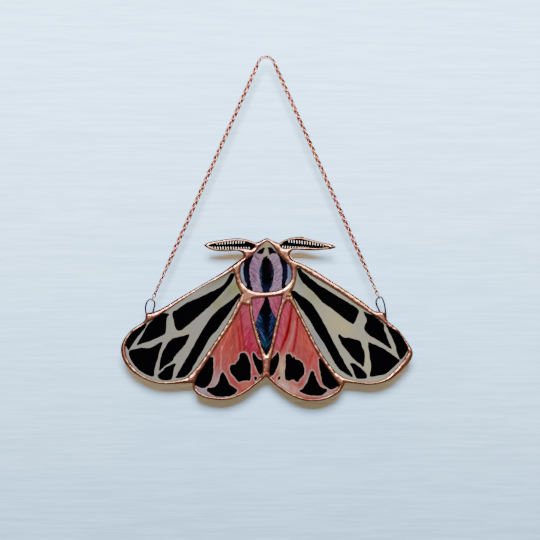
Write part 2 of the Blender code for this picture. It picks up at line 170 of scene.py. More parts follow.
# The fired black patches of each pane, as closed outlines.
BLACK_PATCHES: dict[str, Runs] = {"left_forewing": [
    [(232.7, 272.7), (234.5, 274.5), (233.6, 278.6), (231.4, 282.3), (228.6, 285.5), (225, 290),
     (220.5, 295), (215.9, 300), (210, 305.9), (204.5, 310.9), (200, 315), (195, 319.1),
     (190.5, 323.2), (186.4, 326.4), (182.7, 329.5), (180, 330.6), (177.3, 330.3), (175.5, 327.7),
     (174.3, 324.1), (173.6, 319.5), (172.3, 315), (173.2, 311.4), (176.8, 309.5), (182.3, 305.5),
     (187.7, 302.3), (194.1, 299.5), (199.5, 297.3), (205, 294.5), (210.5, 291.8), (215.9, 289.5),
     (221.4, 286.4), (225.5, 282.3), (228.2, 277.7), (230.5, 273.6)],
    [(169.1, 314.1), (167.3, 317.7), (166.8, 322.3), (166.4, 326.8), (166.1, 331.4), (164.5, 334.1),
     (160.5, 336.4), (155.9, 338.6), (150.5, 340.9), (145, 342.7), (139.5, 344.5), (136.8, 345),
     (139.1, 340.5), (142.3, 335), (145, 329.5), (147.3, 325.5), (150, 322.3), (155.9, 317.6),
     (162.3, 313.5)],
    [(146.8, 325), (144.1, 329.5), (140.9, 333.2), (137.7, 337.3), (134.5, 341.8), (131.8, 345.9),
     (129.1, 350), (128.6, 350.5), (126.4, 346.8), (124.9, 344.5), (126.3, 338), (130, 333.5),
     (135, 329.4), (140, 326.2), (145.9, 323.5)],
    [(130, 350.3), (136.8, 348.6), (142.3, 347.5), (148.6, 347.9), (153.2, 346.4), (157.7, 343.6),
     (162.3, 341.8), (161.8, 345.9), (160.5, 349.5), (159.1, 353.2), (158.2, 357.7), (156.8, 362.3),
     (155.5, 366.8), (154.5, 371.4), (154.1, 375.9), (151.4, 376.4), (148.6, 375.5), (144.1, 373.2),
     (139.5, 370.5), (135.5, 366.4), (131.8, 361.4), (129.5, 356.4), (128.8, 353.2)],
    [(169.5, 340.9), (173.2, 338.2), (178.6, 336.8), (184.1, 335.5), (189.1, 334.1), (189.5, 335),
     (188.2, 339.1), (185.9, 343.6), (183.2, 347.3), (180, 350.5), (177.3, 353.6), (174.5, 357.3),
     (172.7, 360.9), (169.5, 363.2), (165.9, 365.5), (162.7, 368.2), (159.5, 370.6), (159.5, 365.9),
     (160.2, 360.5), (161.4, 355), (162.7, 351.4), (165.5, 346.8), (167.7, 343.2)],
    [(175.5, 363.2), (176.1, 364.1), (174.5, 367.7), (173.6, 371.4), (172.7, 375.9), (171.4, 379.5),
     (165.9, 380.3), (161.4, 379.8), (158.5, 377.7), (157.5, 375.5), (159.5, 373.2), (162.3, 370.9),
     (165.5, 367.3), (169.5, 365.5), (173.2, 363.6)],
    [(240.5, 294.1), (238.6, 293.2), (235.9, 295.9), (230.5, 300.5), (225, 304.5), (219.5, 308.6),
     (214.5, 313.2), (210.5, 317.7), (206.8, 323.2), (203.2, 328.6), (200, 334.1), (196.8, 339.5),
     (194.1, 345), (191.4, 349.5), (189.1, 354.1), (186.8, 357.7), (184.1, 362.3), (181.4, 366.8),
     (178.6, 371.4), (176.8, 375), (175.5, 377.7), (180.5, 377.9), (185, 376.8), (188.6, 374.1),
     (191.4, 370.5), (193.6, 365.9), (195.9, 362.3), (199.5, 355.9), (202.7, 350.5), (205.9, 345),
     (208.6, 340), (211.4, 335.9), (215.9, 331.4), (219.5, 326.8), (223.2, 321.4), (226.8, 316.8),
     (230.5, 311.4), (234.1, 305.9), (237.7, 300.5), (240, 296.8)],
], "right_forewing": [
    [(297.3, 268.6), (300, 268.2), (301.8, 270.5), (305.5, 273.6), (309.5, 277.3), (314.1, 280.9),
     (318.6, 284.5), (324.1, 287.7), (329.5, 290.9), (335, 294.5), (340.5, 297.7), (345.9, 300.9),
     (350.5, 303.6), (354.5, 306.4), (357.7, 308.6), (359.1, 311.4), (358.2, 314.1), (356.8, 317.7),
     (355, 322.3), (352.7, 324.1), (350, 322.7), (346.4, 320.5), (343.2, 318.2), (339.5, 315),
     (335.5, 311.8), (331.4, 308.6), (326.8, 305.5), (322.3, 302.3), (318.6, 298.2), (315, 294.1),
     (311.4, 290.5), (306.8, 286.4), (303.2, 283.2), (300.5, 279.5), (298.6, 275.9),
     (297.5, 272.3)],
    [(363.6, 311.4), (366.8, 312.7), (371.4, 314.5), (375.9, 317.2), (380.5, 321), (384.1, 324.5),
     (384.1, 329.5), (385.9, 333.2), (387.7, 338.6), (390, 344.1), (391.8, 348.6), (389.5, 348.5),
     (385, 345), (379.5, 341.4), (374.1, 338.2), (369.5, 335.5), (365.9, 332.3), (364.1, 329.1),
     (364.5, 325), (366.4, 321.4), (365.9, 317.7), (364.1, 314.5)],
    [(385.9, 324.9), (390.5, 327.6), (395, 330.4), (399.6, 333.1), (403.3, 337.6), (406.5, 343.2),
     (408.3, 348.6), (406.8, 352.3), (404.5, 355.9), (401.8, 359.1), (400, 359.5), (398.2, 355.9),
     (396.4, 351.4), (395.5, 346.8), (393.6, 342.3), (391.8, 337.7), (389.5, 333.2),
     (387.3, 328.6)],
    [(368.6, 341.8), (370.9, 342.7), (375, 344.5), (379.5, 346.4), (384.1, 348.6), (388.6, 351.8),
     (393.2, 355), (397.3, 358.2), (400, 360.5), (397.7, 363.2), (394.1, 366.8), (389.5, 370.9),
     (385, 374.1), (379.5, 375.5), (374.1, 376.4), (370, 376.4), (370, 372.3), (370.9, 367.7),
     (370.5, 363.2), (369.5, 358.6), (369.1, 353.2), (368.2, 347.7), (367.9, 343.6)],
    [(338.2, 334.5), (340, 334.1), (341.8, 335.9), (344.1, 337.3), (348.6, 337.5), (353.2, 338.6),
     (359.5, 340.5), (361.4, 343.2), (362.3, 346.8), (364.1, 350.5), (365, 355), (364.8, 359.5),
     (364.1, 364.1), (363.2, 366.8), (360.5, 364.5), (356.8, 361.8), (353.2, 358.6), (350, 355),
     (347.3, 351.4), (344.1, 347.3), (341.4, 343.6), (339.5, 339.5), (338, 336.4)],
    [(350, 363.2), (354.1, 363.2), (357.7, 365.5), (361.4, 368.2), (365, 371.8), (366.8, 375),
     (366.4, 378.2), (362.3, 378.8), (356.8, 378.5), (355, 375.9), (353.6, 371.8), (351.8, 367.7)],
    [(293.6, 290.5), (295.9, 291.4), (299.5, 294.1), (304.1, 297.3), (308.6, 300.5), (312.3, 304.1),
     (315.9, 309.5), (319.5, 315), (322.3, 320.5), (325, 325), (327.7, 330.5), (330, 335),
     (332.3, 339.5), (334.5, 344.1), (337.3, 348.6), (340, 354.1), (343.2, 359.5), (345.9, 365),
     (349.5, 370.5), (351.8, 374.1), (352.7, 376.8), (350.5, 376.4), (346.8, 374.5), (343.2, 372.3),
     (339.5, 369.5), (335.9, 365), (333.2, 360.5), (330.5, 355.5), (327.7, 350.5), (324.1, 344.1),
     (320.5, 338.6), (316.8, 333.2), (313.2, 326.8), (309.5, 320.5), (305.5, 315), (301.4, 309.5),
     (297.7, 304.1), (295, 299.5), (291.3, 295), (290.1, 292.3)],
], "left_hindwing": [
    [(212.3, 356.7), (213.5, 361.5), (213.5, 366.9), (213.8, 371.5), (212.7, 376.9), (211.2, 381.5),
     (208.1, 385.4), (205, 387.7), (201.2, 387.7), (196.5, 386.2), (194.4, 384.6), (196.1, 378.5),
     (198.4, 373.6), (202.2, 367.5), (206.1, 361.3)],
    [(222.5, 371.9), (225, 374.2), (226.5, 376.9), (228.1, 380.8), (230.4, 384.6), (234.2, 387.3),
     (237.3, 390), (236.2, 392.7), (232.7, 395), (228.1, 396.3), (221.9, 396.8), (215.8, 396.2),
     (211.2, 394.2), (207.7, 391.5), (206.9, 388.8), (208.8, 387.7), (213.5, 386.9), (216.5, 384.6),
     (218.8, 380.8), (220, 376.2)],
    [(240, 353.8), (242.3, 352.7), (245, 352.7), (247.3, 355), (248.8, 358.5), (250.4, 363.1),
     (251, 368.5), (250.8, 374.6), (250.4, 380), (246.5, 380.6), (242.7, 380.8), (239.2, 381.9),
     (236.5, 379.6), (234.2, 376.9), (231.9, 374.6), (230.4, 371.5), (229.6, 368.1), (230.8, 365),
     (235, 364.2), (236.2, 361.9), (238.8, 359.6), (239.2, 356.5)],
    [(252.7, 353.1), (254.2, 352.7), (256.5, 356.2), (258.8, 358.8), (261.9, 360.4), (262.7, 364.6),
     (262.7, 370), (261.5, 373.8), (260.4, 375), (258.1, 372.3), (256.5, 369.2), (255, 365.8),
     (253.5, 360.8), (252.3, 356.2)],
    [(254.6, 376.5), (256.9, 376.9), (256.9, 379.6), (255, 380.2), (254.2, 378.5)],
], "right_hindwing": [
    [(285.5, 355.4), (287.4, 353.8), (290.1, 353.8), (291.6, 355.8), (292.8, 357.7), (294.3, 356.2),
     (295.1, 358.8), (298.9, 360), (302, 362.3), (303.9, 365.8), (304.7, 370), (304.3, 373.8),
     (302, 376.9), (299.7, 379.6), (298.2, 381.9), (295.1, 381.2), (292.8, 379.6), (288.9, 380.8),
     (285.8, 379.6), (284.9, 377.7), (284.7, 371.5), (285.5, 365.4), (285.5, 360)],
    [(312, 370.4), (313.9, 371.9), (315.1, 375.4), (317.4, 380.8), (319.7, 385), (322.8, 387.7),
     (327, 389.2), (326.6, 391.5), (323.5, 394.2), (320.5, 395.5), (315.8, 395.8), (311.2, 395.5),
     (306.6, 394.6), (302, 392.7), (298.9, 390.4), (302, 388.8), (304.7, 385.4), (307.4, 380.8),
     (308.9, 376.9), (310.1, 373.1)],
    [(319.3, 358.6), (322.2, 360.4), (325.5, 363.1), (328.6, 366.9), (331.7, 371.5), (334.8, 376.2),
     (337.8, 380.8), (340.2, 384.6), (336.6, 387.3), (333.5, 388.8), (330.5, 389.6), (327.4, 387.7),
     (324.3, 385.8), (322, 381.5), (320.8, 376.2), (319.7, 370), (318.9, 365.4), (318.8, 361.5)],
    [(277.4, 351.9), (278.9, 354.6), (279.3, 358.5), (278.5, 363.1), (277.4, 366.9), (275.8, 370.8),
     (274.3, 373.8), (272.4, 375.8), (269.5, 375), (269.1, 370), (269.5, 365.4), (271, 360.8),
     (272.5, 357.7), (275.8, 354.6)],
    [(278.5, 376.9), (280.1, 376.2), (280.1, 378.5), (278.5, 379.8), (277.9, 378.5)],
], "thorax": [
    [(261, 248.5), (264.8, 247.5), (264.5, 250), (263.5, 252.5), (262.5, 254), (258, 253.8),
     (256.5, 252.8)],
    [(268, 247.5), (271.5, 247.5), (274, 250), (276.5, 252.8), (272, 253.5), (270, 254.8),
     (269, 252)],
    [(266.5, 255.5), (268, 258.5), (269.5, 261), (271.5, 264), (272.8, 267), (273.2, 270),
     (273, 274), (272.5, 279), (271.5, 283), (270, 287.5), (269, 293), (263.5, 293), (262, 288),
     (261, 284), (260.5, 278), (260.3, 272), (261, 267), (262, 262), (264, 258)],
]}

# The pale places of the panes whose ground is dark.
PALE_PATCHES: dict[str, Runs] = {"thorax": [
    [(267.3, 239), (274, 246), (278, 252.4), (276, 254), (272, 253.8), (269.6, 255.2), (268, 258.4),
     (266.5, 255.6), (264.6, 257.6), (263, 254.4), (258, 254), (255, 255.5), (253, 254), (258, 248),
     (262, 243)],
    [(255, 253.6), (252.5, 258), (250.5, 263), (249.5, 268), (249.7, 273), (250.3, 279), (251, 284),
     (252.5, 289), (253, 293), (262.5, 293), (261, 286), (259.9, 279), (259.4, 272), (260.4, 266),
     (262.4, 260), (263.8, 255.5), (261, 253.8)],
    [(268, 255.5), (270.5, 260), (273, 266), (274, 272), (273.5, 279), (272, 285), (270, 293),
     (280, 293), (281.5, 283), (282, 276), (282.5, 270), (281.5, 266), (280, 261), (278.5, 256.5),
     (276.5, 253.2), (272, 253.6)],
    [(239, 262), (243.6, 262), (243.3, 268), (243.4, 274), (244.6, 280), (246.6, 285.5), (243, 288),
     (239, 280)],
    [(288.6, 262), (287.6, 268), (287.8, 274), (287.2, 279), (285.6, 284), (288, 287), (293, 281),
     (293, 270)],
], "abdomen": [
    [(250, 295), (264.5, 295), (264, 300), (263, 304), (261, 308), (258.5, 313), (257, 318),
     (255.6, 322), (251, 322)],
    [(269, 294), (286, 292), (284, 305), (279, 322), (277, 320), (275.5, 317), (273.5, 313),
     (271, 308), (269.5, 303)],
]}


def paint(red: int, green: int, blue: int) -> Colour:
    """The reflectance that looks like a colour of the paint chart under the studio's light.

    The chart's channels u are mixed, turned into light by exp(a + b ln u + c u + d u^2 + e u^3 +
    f u^4), mixed again and divided by the light that falls on the panel. The numbers come from
    a card of known patches seen through the picture's tone scale.

    Args:
        red, green, blue: the chart's numbers, from 0 to 255.

    Returns:
        The three linear channels of the reflectance.
    """
    u = np.maximum(TONE_BEFORE @ (np.array([red, green, blue]) / 255), 0.0001)
    a, b, c, d, e, f = TONE_CURVE
    light = TONE_AFTER @ np.exp(a + b * np.log(u) + c * u + d * u**2 + e * u**3 + f * u**4)
    return tuple(float(value) for value in np.clip(light / PANEL_LIGHT, 0.0002, 0.95))


def on_panel(points: list[Point] | np.ndarray | Point) -> np.ndarray:
    """Pattern points in metres: x to the right of the nail and z up from it."""
    return (np.asarray(points, float) - PATTERN_CENTRE) * (UNIT, -UNIT)


def smooth_run(points: list[Point], steps: int = 8, closed: bool = False) -> np.ndarray:
    """A cubic through every pattern point, its tangents parallel to the neighbours' chord.

    Between two points it is the Hermite curve (2t^3 - 3t^2 + 1) a + (t^3 - 2t^2 + t) u +
    (3t^2 - 2t^3) b + (t^3 - t^2) v, with tangents u and v as long as the chord from a to b.

    Args:
        points: the pattern points, in order.
        steps: steps from one point to the next.
        closed: True joins the last point to the first as smoothly.

    Returns:
        Its points in metres, one row each. A closed curve doesn't repeat its first point.
    """
    knots = on_panel(points)
    if closed:
        padded = np.vstack([knots[-1:], knots, knots[:2]])
    else:
        padded = np.vstack([2 * knots[:1] - knots[1:2], knots, 2 * knots[-1:] - knots[-2:-1]])
    start, end = padded[1:-2], padded[2:-1]
    chord = np.linalg.norm(end - start, axis=1, keepdims=True)
    leave, arrive = end - padded[:-3], padded[3:] - start
    leave *= chord / np.linalg.norm(leave, axis=1, keepdims=True)
    arrive *= chord / np.linalg.norm(arrive, axis=1, keepdims=True)
    t = (np.arange(steps) / steps)[None, :, None]
    curve = (
        (2 * t**3 - 3 * t**2 + 1) * start[:, None]
        + (t**3 - 2 * t**2 + t) * leave[:, None]
        + (3 * t**2 - 2 * t**3) * end[:, None]
        + (t**3 - t**2) * arrive[:, None]
    ).reshape(-1, 2)
    return curve if closed else np.vstack([curve, knots[-1:]])


def outline(runs: Runs) -> np.ndarray:
    """The closed outline in metres, each run starting where the one before it ends."""
    return np.vstack([smooth_run([runs[i - 1][-1], *run])[:-1] for i, run in enumerate(runs)])


def bead(distance: np.ndarray, low: np.ndarray | float, high: np.ndarray | float,
         shoulder: float) -> np.ndarray:
    """Height of a run of solder: low + (high - low) sqrt(1 - (1 - distance / shoulder)^2).

    Args:
        distance: distance inwards from the bead's edge, in metres.
        low: height at the edge.
        high: height of the crown, reached at the shoulder.
        shoulder: distance over which it rises.

    Returns:
        The height at each distance.
    """
    rest = 1 - np.clip(distance / shoulder, 0, 1)
    return low + (high - low) * np.sqrt(1 - rest**2)


def ripples(x: np.ndarray, z: np.ndarray, waves: tuple[float, ...], seed: int) -> np.ndarray:
    """A gentle unevenness from -1 to 1: the mean of cosine waves in fixed random directions.

    Args:
        x, z: where, in metres.
        waves: wavelengths in metres, each used three times.
        seed: seed of the directions and phases.

    Returns:
        The unevenness at each place.
    """
    rng = np.random.default_rng(seed)
    total = np.zeros_like(x)
    for wave in np.repeat(waves, 3):
        turn, phase = rng.uniform(0, 2 * math.pi, 2)
        total += np.cos((x * math.cos(turn) + z * math.sin(turn)) * 2 * math.pi / wave + phase)
    return total / (3 * len(waves))


def ease(t: np.ndarray) -> np.ndarray:
    """The smooth step 3t^2 - 2t^3, with t held between 0 and 1."""
    t = np.clip(t, 0, 1)
    return t * t * (3 - 2 * t)


@dataclass(frozen=True)
class Grid:
    """Square cells over a part of the panel: rows go up z, and columns go along x.

    Attributes:
        xs, zs: the places of the columns and rows, in metres.
        TILE: corners along the side of a tile in which distances are measured together.
    """

    xs: np.ndarray
    zs: np.ndarray
    TILE: ClassVar[int] = 24

    @classmethod
    def around(cls, loop: np.ndarray, spacing: float, margin: float) -> "Grid":
        """The grid that covers an outline and a margin round it.

        Args:
            loop: the outline's points in metres.
            spacing: the side of a cell.
            margin: how far past the outline it reaches.

        Returns:
            The grid.
        """
        low, high = loop.min(axis=0) - margin, loop.max(axis=0) + margin
        columns, rows = np.ceil((high - low) / spacing).astype(int) + 1
        return cls(low[0] + spacing * np.arange(columns), low[1] + spacing * np.arange(rows))

    @property
    def spacing(self) -> float:
        """The side of a cell in metres."""
        return float(self.xs[1] - self.xs[0])

    @property
    def shape(self) -> tuple[int, int]:
        """The number of rows and columns of corners."""
        return len(self.zs), len(self.xs)

    def places(self) -> tuple[np.ndarray, np.ndarray]:
        """The x and z of every corner, as two arrays of rows by columns."""
        x, z = np.meshgrid(self.xs, self.zs)
        return x, z

    def inside(self, loop: np.ndarray) -> np.ndarray:
        """Whether each corner is inside a closed outline.

        It is inside if a ray from it along +x crosses the outline an odd number of times.

        Args:
            loop: the outline's points in metres.

        Returns:
            A mask of rows by columns.
        """
        start, along = loop, np.roll(loop, -1, axis=0) - loop
        result = np.zeros(self.shape, bool)
        for row, z in enumerate(self.zs):
            crossed = (start[:, 1] > z) != (start[:, 1] + along[:, 1] > z)
            share = (z - start[crossed, 1]) / along[crossed, 1]
            at = start[crossed, 0] + share * along[crossed, 0]
            result[row] = (at[None, :] > self.xs[:, None]).sum(axis=1) % 2 == 1
        return result

    def nearness(self, line: np.ndarray, reach: float, closed: bool) -> np.ndarray:
        """Distance of each corner from a line of points, at most reach.

        It is the least distance to a segment, the nearest point of a segment being its start
        plus its length times the projection held between 0 and 1. Tiles of the grid look only
        at the segments within reach.

        Args:
            line: the line's points in metres.
            reach: the most that the distance may be.
            closed: True joins the last point to the first.

        Returns:
            The distance at every corner.
        """
        ring = np.vstack([line, line[:1]]) if closed else line
        start, along = ring[:-1], np.diff(ring, axis=0)
        square = np.maximum((along**2).sum(axis=1), 1e-18)
        middle, half = start + along / 2, np.sqrt(square) / 2
        result = np.full(self.shape, reach)
        for top in range(0, len(self.zs), self.TILE):
            for first in range(0, len(self.xs), self.TILE):
                x, z = self.xs[first:first + self.TILE], self.zs[top:top + self.TILE]
                centre = np.array([x[0] + x[-1], z[0] + z[-1]]) / 2
                radius = math.hypot(x[-1] - x[0], z[-1] - z[0]) / 2
                near = np.hypot(*(middle - centre).T) < radius + reach + half
                if not near.any():
                    continue
                px = x[None, :, None] - start[near, 0]
                pz = z[:, None, None] - start[near, 1]
                ax, az = along[near].T
                t = np.clip((px * ax + pz * az) / square[near], 0, 1)
                distance = np.hypot(px - t * ax, pz - t * az).min(axis=-1)
                result[top:top + len(z), first:first + len(x)] = np.minimum(distance, reach)
        return result

    def depth(self, loop: np.ndarray, reach: float) -> np.ndarray:
        """Distance inwards from a closed outline, negative outside it, held within reach."""
        nearness = self.nearness(loop, reach, closed=True)
        return np.where(self.inside(loop), nearness, -nearness)


def cells_of(corners: np.ndarray) -> np.ndarray:
    """The mean of the four corners of each cell."""
    return (corners[:-1, :-1] + corners[:-1, 1:] + corners[1:, :-1] + corners[1:, 1:]) / 4


def without_pinches(cells: np.ndarray, allowed: np.ndarray | bool = True) -> np.ndarray:
    """The cells, with one more filled wherever two of them touch at a corner only.

    Args:
        cells: a mask of cells.
        allowed: the cells that may be filled, or True for all.

    Returns:
        The filled mask.
    """
    cells = cells.copy()
    for _ in range(4):
        a, b, c, d = cells[:-1, :-1], cells[:-1, 1:], cells[1:, :-1], cells[1:, 1:]
        rising, falling = b & c & ~a & ~d, a & d & ~b & ~c
        if not (rising.any() or falling.any()):
            break
        fill = np.zeros_like(cells)
        fill[:-1, :-1] |= rising
        fill[:-1, 1:] |= falling
        fill[1:, 1:] |= rising
        fill[1:, :-1] |= falling
        cells |= fill & allowed
    return cells


def rim_edges(cells: np.ndarray, beyond: np.ndarray) -> np.ndarray:
    """Grid edges with one of the cells on their left and a cell of beyond on their right.

    Args:
        cells, beyond: masks of cells; what is off the grid counts as beyond if its corner does.

    Returns:
        One row per edge: row and column of its first corner, then of its last.
    """
    cells = np.pad(cells, 1)
    beyond = np.pad(beyond, 1, constant_values=bool(beyond[0, 0]))
    edges = []
    for (down, right), first, last in (
        ((-1, 0), (0, 0), (0, 1)),
        ((0, 1), (0, 1), (1, 1)),
        ((1, 0), (1, 1), (1, 0)),
        ((0, -1), (1, 0), (0, 0)),
    ):
        there = np.roll(beyond, (-down, -right), axis=(0, 1))
        rows, columns = np.nonzero(cells & there)
        rows, columns = rows - 1, columns - 1
        edges.append(np.stack([rows + first[0], columns + first[1],
                               rows + last[0], columns + last[1]], axis=1))
    return np.concatenate(edges)


@dataclass
class Sheets:
    """A closed piece gathered from sheets over a grid, each a height at every corner.

    Attributes:
        x, z: the corners' places, as the outline has drawn them.
        points, grids, faces: each sheet's points, the corners they stand on, and its faces.
        count: how many points there are so far.
    """

    x: np.ndarray
    z: np.ndarray
    points: list[np.ndarray] = field(default_factory=list)
    grids: list[np.ndarray] = field(default_factory=list)
    faces: list[np.ndarray] = field(default_factory=list)
    count: int = 0

    def sheet(self, cells: np.ndarray, y: np.ndarray, forwards: bool) -> np.ndarray:
        """Adds a sheet over the cells, facing -Y if forwards and +Y if not.

        Args:
            cells: the mask of the cells it covers.
            y: its place along Y at every corner.
            forwards: the way that it faces.

        Returns:
            The number of each corner's point, -1 where it has none.
        """
        used = np.zeros(self.x.shape, bool)
        for rows, columns in ((slice(None, -1), slice(None, -1)), (slice(None, -1), slice(1, None)),
                              (slice(1, None), slice(None, -1)), (slice(1, None), slice(1, None))):
            used[rows, columns] |= cells
        number = np.full(self.x.shape, -1)
        number[used] = self.count + np.arange(used.sum())
        self.count += int(used.sum())
        self.points.append(np.stack([self.x[used], y[used], self.z[used]], axis=1))
        self.grids.append(np.flatnonzero(used.ravel()))
        rows, columns = np.nonzero(cells)
        quads = np.stack([number[rows, columns], number[rows, columns + 1],
                          number[rows + 1, columns + 1], number[rows + 1, columns]], axis=1)
        self.faces.append(quads if forwards else quads[:, ::-1])
        return number

    def wall(self, edges: np.ndarray, front: np.ndarray, back: np.ndarray) -> None:
        """Joins two sheets along edges, facing away from the cells on the edges' left."""
        first, last = (edges[:, 0], edges[:, 1]), (edges[:, 2], edges[:, 3])
        self.faces.append(np.stack([front[last], front[first], back[first], back[last]], axis=1))

    def corner_values(self, values: np.ndarray) -> np.ndarray:
        """A value for every point, from an array with a value for every corner."""
        flat = values.reshape(self.x.size, -1)
        return np.concatenate([flat[grid] for grid in self.grids])

    def arrays(self) -> tuple[np.ndarray, np.ndarray]:
        """All the points and all the faces."""
        return np.concatenate(self.points), np.concatenate(self.faces)


def make_piece(name: str, points: np.ndarray, faces: list | np.ndarray,
               numbers: dict[str, np.ndarray] | None = None,
               colours: dict[str, np.ndarray] | None = None) -> bpy.types.Object:
    """A smooth-shaded mesh object at the origin.

    Args:
        name: its name.
        points: one row of x, y, z per point.
        faces: the point numbers of each face.
        numbers: a named value per point.
        colours: a named colour per point.

    Returns:
        The new object.
    """
    mesh = bpy.data.meshes.new(name)
    mesh.from_pydata(np.asarray(points).tolist(), [], [list(map(int, face)) for face in faces])
    mesh.polygons.foreach_set("use_smooth", np.ones(len(mesh.polygons), bool))
    for key, values in (numbers or {}).items():
        layer = mesh.attributes.new(key, "FLOAT", "POINT")
        layer.data.foreach_set("value", np.ascontiguousarray(values, np.float32).ravel())
    for key, values in (colours or {}).items():
        layer = mesh.attributes.new(key, "FLOAT_COLOR", "POINT")
        opaque = np.concatenate([values, np.ones((len(values), 1))], axis=1)
        layer.data.foreach_set("color", opaque.astype(np.float32).ravel())
    mesh.update()
    obj = bpy.data.objects.new(name, mesh)
    bpy.context.scene.collection.objects.link(obj)
    return obj


def snapped(grid: Grid, cells: np.ndarray, depth: np.ndarray) -> tuple[np.ndarray, ...]:
    """Draws the outer corners of the cells onto the line where the depth is nought.

    A corner moves by minus its depth along the depth's gradient, three quarters of a cell at most.

    Args:
        grid: the grid.
        cells: the mask of the cells that are kept.
        depth: distance inwards from the edge at every corner.

    Returns:
        The corners' x, their z, and the mask of the corners that were drawn.
    """
    x, z = grid.places()
    padded = np.pad(cells, 1)
    around = np.stack([padded[:-1, :-1], padded[:-1, 1:], padded[1:, :-1], padded[1:, 1:]])
    outer = around.any(axis=0) & ~around.all(axis=0)
    slope_z, slope_x = np.gradient(depth, grid.spacing)
    steep = np.maximum(slope_x**2 + slope_z**2, 0.25)
    shift = np.clip(depth / steep, -0.75 * grid.spacing, 0.75 * grid.spacing)
    x = np.where(outer, x - shift * slope_x, x)
    z = np.where(outer, z - shift * slope_z, z)
    return x, z, outer


@dataclass
class Shader:
    """Adds nodes to a material's or a group's tree and joins them.

    Attributes:
        tree: the node tree.
    """

    tree: bpy.types.NodeTree

    def add(self, kind: str, inputs: dict | None = None, **settings: object) -> bpy.types.Node:
        """Adds a node.

        Args:
            kind: the node's type, without its first word.
            inputs: what goes into its sockets, by name or number.
            settings: its own settings.

        Returns:
            The node.
        """
        node = self.tree.nodes.new("ShaderNode" + kind)
        for key, value in settings.items():
            setattr(node, key, value)
        for key, value in (inputs or {}).items():
            self.feed(node.inputs[key], value)
        return node

    def feed(self, socket: bpy.types.NodeSocket, value: object) -> None:
        """Joins a socket to another one, or sets it.

        Args:
            socket: the socket that is fed.
            value: another socket, or a number, colour or vector.
        """
        if isinstance(value, bpy.types.NodeSocket):
            self.tree.links.new(value, socket)
        elif isinstance(value, tuple) and len(value) == 3 and socket.type == "RGBA":
            socket.default_value = (*value, 1.0)
        else:
            socket.default_value = value

    def maths(self, operation: str, *values: object) -> bpy.types.NodeSocket:
        """The result of a Math node."""
        node = self.add("Math", dict(enumerate(values)), operation=operation)
        return node.outputs[0]

    def mix(self, share: object, first: object, second: object,
            blend: str = "MIX") -> bpy.types.NodeSocket:
        """A colour between two others, or one laid on the other in another way.

        Args:
            share: share of the second colour.
            first, second: the colours.
            blend: how the second is laid on the first.

        Returns:
            The mixed colour.
        """
        node = self.tree.nodes.new("ShaderNodeMix")
        node.data_type, node.blend_type = "RGBA", blend
        for index, value in ((0, share), (6, first), (7, second)):
            self.feed(node.inputs[index], value)
        return node.outputs[2]

    def ramp(self, value: bpy.types.NodeSocket, low: float, high: float, to_low: float = 0.0,
             to_high: float = 1.0, smooth: bool = True) -> bpy.types.NodeSocket:
        """Maps low to to_low and high to to_high, and holds the rest at the ends."""
        node = self.add("MapRange", {0: value, 1: low, 2: high, 3: to_low, 4: to_high},
                        interpolation_type="SMOOTHSTEP" if smooth else "LINEAR")
        return node.outputs[0]

    def noise(self, vector: bpy.types.NodeSocket, scale: float, detail: float = 2.0,
              roughness: float = 0.5) -> bpy.types.NodeSocket:
        """The value of a Noise Texture."""
        node = self.add("TexNoise", {"Vector": vector, "Scale": scale, "Detail": detail,
                                     "Roughness": roughness})
        return node.outputs["Fac"]


class Effect(Enum):
    """The shared effects, each a node group that is built once."""

    PATINA = "uneven_patina"
    BRUSHED = "brushed_colour"
    HAND_EDGE = "hand_painted_edge"


def new_group(effect: Effect, inputs: dict[str, str],
              outputs: dict[str, str]) -> tuple[Shader, bpy.types.Node, bpy.types.Node]:
    """An empty node group with named sockets.

    Args:
        effect: which effect it is.
        inputs, outputs: socket type by name.

    Returns:
        The group's shader, its input node and its output node.
    """
    tree = bpy.data.node_groups.new(effect.value, "ShaderNodeTree")
    for way, sockets in (("INPUT", inputs), ("OUTPUT", outputs)):
        for name, kind in sockets.items():
            tree.interface.new_socket(name, in_out=way, socket_type="NodeSocket" + kind)
    return Shader(tree), tree.nodes.new("NodeGroupInput"), tree.nodes.new("NodeGroupOutput")


# What turns the copper pinker, and the colour of the dark at the solder's edges, partly dirt and
# partly painted shade and dark reflection.
PINK_TINGE = (1.0, 0.82, 1.14)
GRIME_AND_PAINTED_SHADE = (0.045, 0.016, 0.010)


